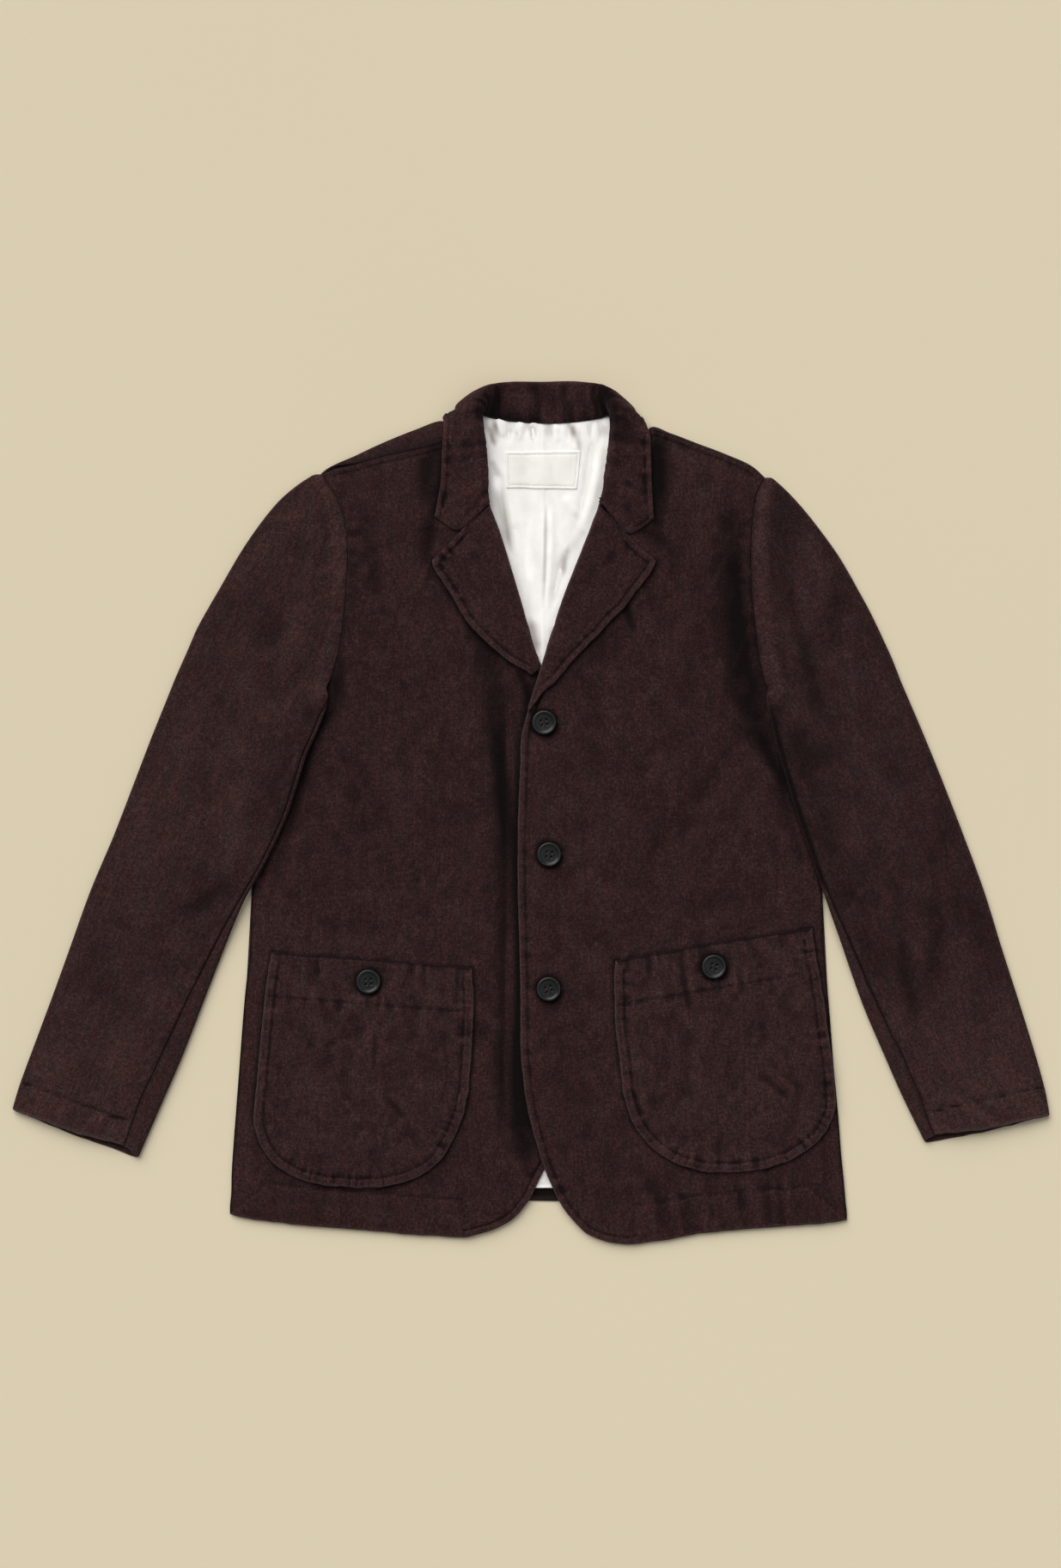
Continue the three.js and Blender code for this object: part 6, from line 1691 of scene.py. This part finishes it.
        # painted shading: fold valleys darker and ridges lighter, painted shade along folds, seams, stitching and cuff
        # puckers, a painted highlight on the cuff's edge, lighter towards the cuff, sleeve_left darker away from it,
        # and faint random tone
        tones[:, :cols] = bends / 8 + shadows(X.ravel(), Y.ravel(), SLEEVE_SHADE[which]).reshape(X.shape) * smooth(lc / 3) + 0.55 * np.exp(-(cuff / 1.5) ** 2) + np.clip((z - first) / 0.75, -1, 1) * 0.8 - 0.2 * np.exp(-((cuff - 27) / 1.5) ** 2) * smooth(lc / 4) - lerp(0.45, 0.0, armed) * seam + 0.08 * noise(X, Y, 60, 880 + sign, 80, 1.5)
        tones[:, :cols] += 0.5 * np.clip((first - 1.6 * bends) / 0.8, -1, 1) + 0.40 * (1 - smooth((cuff - 10) / 170)) - (0.22 if sign > 0 else 0) * smooth((cuff - 60) / 90) - 0.60 * band * np.clip(-pucker - 0.02, 0, 0.5) - 0.30 * np.exp(-((cuff - 27) / 1.3) ** 2) * smooth(lc / 4)
        G[:, :cols, 2] += z
        return G

    TU = np.zeros(U.shape[:2])
    U = relief_and_painted_shading(U, nt, TU)
    TD = np.zeros(D.shape[:2])
    TD[:, -1:] -= 0.45
    if sign > 0:  # in the shade between the sleeve and the body
        (_, high_y), (_, low_y) = chart(886, 824), chart(958, 1034)
        TD -= 0.97 * smooth((high_y + 6 - D[:, :, 1]) / 14) * smooth((D[:, :, 1] - low_y + 4) / 12)
    # the cuff's two layers: the upper one ends a little short, both edges wave
    lc = np.cumsum(np.r_[0, np.linalg.norm(np.diff(U[-1, :nt], axis=0), axis=1)])
    for G, short, seed in ((U, 0.6, 841), (D, -2.0, 842)):
        m = G.shape[1]
        L = np.cumsum(np.r_[0, np.linalg.norm(np.diff(G[-1], axis=0), axis=1)])
        shift = -short * smooth(L / 30) * smooth((L[-1] - L) / 30) - (4.4 * np.exp(-((L - 4) / 21) ** 2) if G is U else 4.0 * np.exp(-((L[-1] - L) / 9) ** 2)) + 0.7 * noise(L, 0 * L, 15, seed) + 0.35 * noise(L, 0 * L, 6, seed + 1)
        for k in range(1, 8):
            G[-k, :, :2] += out_dir[None, :] * (shift * (1 - (k - 1) / 7) ** 1.5)[:, None]
    for G in (U, D):
        G[:, :, 2] = np.maximum(G[:, :, 2], 0.03)
    angle = math.degrees(math.atan2(t["ox"][14] - t["ox"][12], -(t["oy"][14] - t["oy"][12])))
    sd = 1 if sign < 0 else -1
    sheet_shell(which + "_upper", U, 1.3, sd, CLOTH_SLEEVE_PAINTED_LIGHTER, [which + "_upper"], angle=-angle, radius=0.45, tone=TU, worn_and_rim_lit_cols=False, lip=2.0)
    sheet_shell(which + "_under", D, 1.3, sd, CLOTH_SLEEVE_PAINTED_LIGHTER, [which + "_under"], angle=-angle, radius=0.7, tone=TD, worn_and_rim_lit_cols=False)
    return {"upper": U, "under": D, "top_cols": nt}


# a copy of the cloth painted lighter and warmer, standing in for more light on the sleeves' flat tops
CLOTH_SLEEVE_PAINTED_LIGHTER = cloth_material("cloth_sleeve_painted_lighter", (0.0138, 0.0056, 0.0057), (0.0268, 0.0118, 0.0119), (0.0500, 0.0240, 0.0240),
                              (1.10, 0.95, 0.93), (0.92, 1.04, 1.03))
sleeve_r = sleeve_piece("sleeve_right", SLEEVE_RIGHT, right, FRONT_RIGHT, -1)
sleeve_l = sleeve_piece("sleeve_left", SLEEVE_LEFT, left, FRONT_LEFT, 1)


# ---- buttons, buttonholes, stitches --------------------------------------------------------------------------------------------
def circle(r, n, cx=0.0, cy=0.0, turn=0.0):
    a = np.arange(n) / n * 2 * math.pi + turn
    return np.stack([cx + r * np.cos(a), cy + r * np.sin(a)], 1)


def button_mesh(seed):
    """A turned four-hole button: raised rim, dished middle with a fine ring, holes right through."""
    holes = [(sx * 2.1, sy * 2.1) for sx, sy in ((-1, -1), (1, -1), (1, 1), (-1, 1))]
    rim = circle(11.1, 84)
    loops = [rim] + [circle(1.02, 18, *c) for c in holes]
    P = list(loops)
    for r in (10.95, 10.7, 10.3, 9.8, 9.3, 8.8, 8.4, 8.0, 7.6, 7.2, 6.8, 6.3, 5.9, 5.6, 5.3, 4.9, 4.3, 3.9):
        P.append(circle(r, max(24, int(r * 8)), turn=r))
    for c in holes:
        for r in (1.18, 1.42, 1.8):
            P.append(circle(r, 18, *c, turn=r))
    g = np.array([(x, y) for x in np.arange(-3.4, 3.5, 0.55) for y in np.arange(-3.4, 3.5, 0.55)])
    keep = (np.hypot(g[:, 0], g[:, 1]) < 3.5) & np.all([np.hypot(g[:, 0] - c[0], g[:, 1] - c[1]) > 2.0 for c in holes], 0)
    P.append(g[keep])
    pts = np.concatenate(P)
    edges, at, own = [], 0, []
    for q in loops:
        edges += [(at + i, at + (i + 1) % len(q)) for i in range(len(q))]
        own += list(range(at, at + len(q)))
        at += len(q)
    V, _, F, ov, _, _ = delaunay_2d_cdt([Vector(p) for p in pts], edges, [], 0, 1e-6, True)
    V = np.array([(v[0], v[1]) for v in V])
    F = np.array([f[:] for f in F if len(f) == 3], int)
    c = V[F].mean(1)
    bad = np.hypot(c[:, 0], c[:, 1]) > 11.1
    for h in holes:
        bad |= np.hypot(c[:, 0] - h[0], c[:, 1] - h[1]) < 1.0
    F = F[~bad]
    A, B, D = V[F[:, 0]], V[F[:, 1]], V[F[:, 2]]
    turn = (B[:, 0] - A[:, 0]) * (D[:, 1] - A[:, 1]) - (B[:, 1] - A[:, 1]) * (D[:, 0] - A[:, 0]) < 0
    F[turn] = F[turn][:, ::-1]
    r = np.hypot(V[:, 0], V[:, 1])
    hd = np.min([np.hypot(V[:, 0] - c[0], V[:, 1] - c[1]) for c in holes], 0) - 1.02
    zt = np.interp(r, [0, 3.5, 5.2, 5.6, 6.0, 7.2, 8.2, 8.9, 9.6, 10.3, 10.8, 11.1],
                   [2.25, 2.3, 2.42, 2.30, 2.44, 2.5, 2.75, 3.35, 3.6, 3.45, 2.9, 2.1])
    zt = zt - 0.35 * np.exp(-(hd / 0.28) ** 2)
    zb = np.interp(r, [0, 8.8, 10.3, 11.1], [0.0, 0.0, 0.35, 1.3])
    n = len(V)
    src = {}
    for j, o in enumerate(ov):
        for i in o:
            src[i] = j
    sides, at = [], 0
    for q in loops:
        ids = np.array([src[at + i] for i in range(len(q))])
        nx = np.roll(ids, -1)
        at += len(q)
        if len(q) == 84:
            sides += [np.stack([ids, ids + n, nx + n], 1), np.stack([ids, nx + n, nx], 1)]
        else:
            sides += [np.stack([ids, nx + n, ids + n], 1), np.stack([ids, nx, nx + n], 1)]
    faces = np.concatenate([F, F[:, ::-1] + n] + sides)
    P3 = np.concatenate([np.column_stack([V, zt]), np.column_stack([V, zb])])
    A, B, D = P3[faces[:, 0]], P3[faces[:, 1]], P3[faces[:, 2]]
    return P3, faces


def capsules(centres, along, up, length, radius, rings=4, sides=5, dip=0.3):
    """Many small rounded bars as one mesh: their centres, directions and up vectors as rows."""
    c, t, u = (np.asarray(a, float) for a in (centres, along, up))
    t = t / np.maximum(np.linalg.norm(t, axis=1), 1e-9)[:, None]
    u = u - t * (u * t).sum(1)[:, None]
    u = u / np.maximum(np.linalg.norm(u, axis=1), 1e-9)[:, None]
    w = np.cross(t, u)
    n = len(c)
    length = np.broadcast_to(length, (n,))
    f = np.linspace(-1, 1, rings)
    ang = np.arange(sides) / sides * 2 * math.pi
    V = np.zeros((n, rings * sides + 2, 3))
    for i, q in enumerate(f):
        rr = radius * math.sqrt(max(0.05, 1 - abs(q) ** 3 * 0.75))
        mid = c + t * (q * 0.46 * length)[:, None] - u * (dip * q * q)
        for j, a in enumerate(ang):
            V[:, i * sides + j] = mid + (u * math.cos(a) + w * math.sin(a)) * rr
    V[:, -2] = c - t * (0.5 * length)[:, None] - u * dip * 1.1
    V[:, -1] = c + t * (0.5 * length)[:, None] - u * dip * 1.1
    F = []
    for i in range(rings - 1):
        for j in range(sides):
            a, b = i * sides + j, i * sides + (j + 1) % sides
            F += [(a, a + sides, b + sides), (a, b + sides, b)]
    for j in range(sides):
        k = (j + 1) % sides
        F.append((rings * sides, j, k))
        F.append((rings * sides + 1, (rings - 1) * sides + k, (rings - 1) * sides + j))
    F = np.array(F)
    # w = t x u, so the ring runs from up towards w; turn the faces if they point in
    A, B, D = V[0][F[:, 0]], V[0][F[:, 1]], V[0][F[:, 2]]
    m = V[0].mean(0)
    if ((A - m) * np.cross(B - m, D - m)).sum() < 0:
        F = F[:, ::-1]
    faces = (F[None] + (np.arange(n) * V.shape[1])[:, None, None]).reshape(-1, 3)
    return V.reshape(-1, 3), faces


class Bundle:
    """Collects small meshes into one piece."""

    def __init__(self):
        self.V, self.F, self.n = [], [], 0

    def add(self, V, F):
        self.V.append(V)
        self.F.append(F + self.n)
        self.n += len(V)

    def run(self, P, zfun=None, pitch=2.9, share=0.72, radius=0.24, up=None, seed=0, lift=0.10):
        """Stitches along a line of points on a surface."""
        P = np.asarray(P, float)
        if zfun is not None:
            P = np.column_stack([P[:, :2], zfun(P[:, 0], P[:, 1])])
        L = np.r_[0, np.cumsum(np.linalg.norm(np.diff(P, axis=0), axis=1))]
        n = max(2, int(L[-1] / pitch))
        s = (np.arange(n) + 0.5) * L[-1] / n
        k = np.arange(n)
        s = s + 0.18 * noise(k * 1.0, 0.0 * k, 0.7, seed)
        at = lambda q: np.stack([np.interp(q, L, P[:, i]) for i in range(3)], 1)
        c, a, b = at(s), at(s - pitch * 0.4), at(s + pitch * 0.4)
        U = np.tile([0, 0, 1.0], (n, 1)) if up is None else np.stack([np.interp(s, L, up[:, i]) for i in range(3)], 1)
        V, F = capsules(c + U * lift, b - a, U, pitch * share, radius, dip=0.28)
        self.add(V, F)

    def piece(self, name, mat=None):
        V = np.concatenate(self.V)
        return make(name, V, np.concatenate(self.F), mat or THREAD, (), V)


surfaces = {"front_left": left["z"], "pocket_right": pocket_r["z"], "pocket_left": pocket_l["z"]}
for bi, (name, bx, by, on) in enumerate(BUTTONS):
    V, F = button_mesh(bi)
    ring = circle(9.5, 12, bx, by)
    z = surfaces[on](ring[:, 0], ring[:, 1])
    gx, gy = np.polyfit(ring[:, 0], z, 1)[0], np.polyfit(ring[:, 1], z, 1)[0]
    gx, gy = np.clip([gx, gy], -0.05, 0.05)
    turn = math.radians([12, -7, 21, 4, -15][bi])
    x, y = V[:, 0] * math.cos(turn) - V[:, 1] * math.sin(turn), V[:, 0] * math.sin(turn) + V[:, 1] * math.cos(turn)
    foot = z.max() + 0.7
    W = np.stack([x + bx, y + by, V[:, 2] + foot + gx * x + gy * y], 1)
    make(name, W, F, RESIN, [name], grain=V + np.array([0, 0, 40.0 * bi]))
    b = Bundle()
    for row in (-1, 1):
        for k in (-0.45, 0.0, 0.45):
            c = np.array([[0.0, row * 2.1 + k]])
            p = np.array([[c[0, 0] * math.cos(turn) - c[0, 1] * math.sin(turn) + bx,
                           c[0, 0] * math.sin(turn) + c[0, 1] * math.cos(turn) + by, foot + 2.52 + 0.1 * abs(k)]])
            t = np.array([[math.cos(turn), math.sin(turn), 0.0]])
            b.add(*capsules(p, t, [[0, 0, 1.0]], 5.0, 0.27, rings=9, sides=6, dip=0.95))
    shank = capsules([[bx, by, foot + 0.4]], [[0, 0, 1.0]], [[1.0, 0, 0]], 2.4, 1.2, rings=5, sides=12, dip=0.0)
    b.add(*shank)
    # buttonhole: two rows of close stitches with a bar at the ends, and a narrow gap between them
    front_hole = "front" in name
    d = np.array([1.0, 0.02]) if front_hole else (pocket_r if on == "pocket_right" else pocket_l)["down"] * 1.0
    e = np.array([-d[1], d[0]])
    a0, a1 = (-7.0, 19.5) if front_hole else (-6.0, 26.0)
    q = np.arange(a0, a1, 0.62)
    for sgn in (-1, 1):
        P = np.array([bx, by]) + d * q[:, None] + e * sgn * 0.85
        zz = surfaces[on](P[:, 0], P[:, 1]) + 0.12
        b.add(*capsules(np.column_stack([P, zz]), np.tile([e[0], e[1], 0.0], (len(P), 1)), np.tile([0, 0, 1.0], (len(P), 1)), 1.5, 0.30, dip=0.12))
    for endp in (a0 - 0.5, a1 + 0.3):
        P = np.array([bx, by]) + d * endp + e * np.array([-0.9, -0.3, 0.3, 0.9])[:, None] * 0.9
        zz = surfaces[on](P[:, 0], P[:, 1]) + 0.15
        b.add(*capsules(np.column_stack([P, zz]), np.tile([d[0], d[1], 0.0], (4, 1)), np.tile([0, 0, 1.0], (4, 1)), 1.5, 0.34, dip=0.1))
    b.piece("thread_" + name)

st = Bundle()
st.run(left["line"].spot("edge", 6.3, 0.30, 1.0), left["z"], seed=1)
st.run(left["line"].spot("hem", 35.0, 0.0, 0.985), left["z"], seed=2)
st.run(left["line"].spot("shoulder", 3.0), left["z"], seed=3)
st.run(np.stack([np.full(20, 105.3), np.linspace(-387.5, -356, 20)], 1), left["z"], seed=4)
st.piece("stitches_front_left")
st = Bundle()
st.run(right["line"].spot("edge", 6.3, 0.80, 1.0), right["z"], seed=5)
st.run(right["line"].spot("hem", 35.0, 0.0, 0.985), right["z"], seed=6)
st.run(right["line"].spot("shoulder", 2.4), right["z"], seed=7)
st.run(right["line"].spot("shoulder", 6.4), right["z"], seed=8)
st.run(np.stack([np.full(20, -74.9), np.linspace(-381.5, -352, 20)], 1), right["z"], seed=9)
st.piece("stitches_front_right")
for name, p, sd in (("lapel_right", lapel_r, 10), ("lapel_left", lapel_l, 20)):
    st = Bundle()
    st.run(p["line"].spot("outer", 6.0), p["z"], seed=sd)
    st.run(p["line"].spot("gorge", 6.0, 0.0 if name == "lapel_left" else 0.45, 0.55 if name == "lapel_left" else 1.0), p["z"], seed=sd + 1)
    st.piece("stitches_" + name)
for name, p, sd in (("pocket_right", pocket_r, 30), ("pocket_left", pocket_l, 40)):
    st = Bundle()
    st.run(p["line"].spot("bag", 8.6), p["z"], seed=sd)
    w = np.linalg.norm(p["r"][0] - p["l"][0])
    s = np.linspace(3, w + 4, 60)
    hemline = p["l0"] + p["a"] * s[:, None] + p["down"] * 39.0
    st.run(hemline[p["line"].inside(hemline[:, 0], hemline[:, 1])], p["z"], seed=sd + 2)
    st.piece("stitches_" + name)
st = Bundle()
k = int(np.argmin(np.abs(le[len(le) // 2] - 6.0)))
P = np.array([C[i, int(np.argmin(np.abs(le[i] - 6.0)))] for i in range(4, len(C) - 4)])
Nn = -np.array([N[i, int(np.argmin(np.abs(le[i] - 6.0)))] for i in range(4, len(C) - 4)])
st.run(P, None, up=Nn, seed=50)
st.piece("stitches_collar")
for which, s, sd in (("sleeve_right", sleeve_r, 60), ("sleeve_left", sleeve_l, 70)):
    U = s["upper"]
    cuff = np.cumsum(np.linalg.norm(np.diff(U[::-1, :], axis=0), axis=2), axis=0)
    P = np.array([U[::-1][int(np.argmin(np.abs(cuff[:, j] - 27))) + 1, j] for j in range(3, s["top_cols"])])
    st = Bundle()
    st.run(P, None, seed=sd)
    st.piece("stitches_" + which)
st = Bundle()
for sd, side in enumerate(("top", "left", "bottom", "right")):
    st.run(label_line.spot(side, 2.6), lambda x, y: label_top(x, y, *label_line.near(x, y)), pitch=2.2, radius=0.16, seed=80 + sd, lift=0.05)
st.piece("stitches_label", COTTON_THREAD)
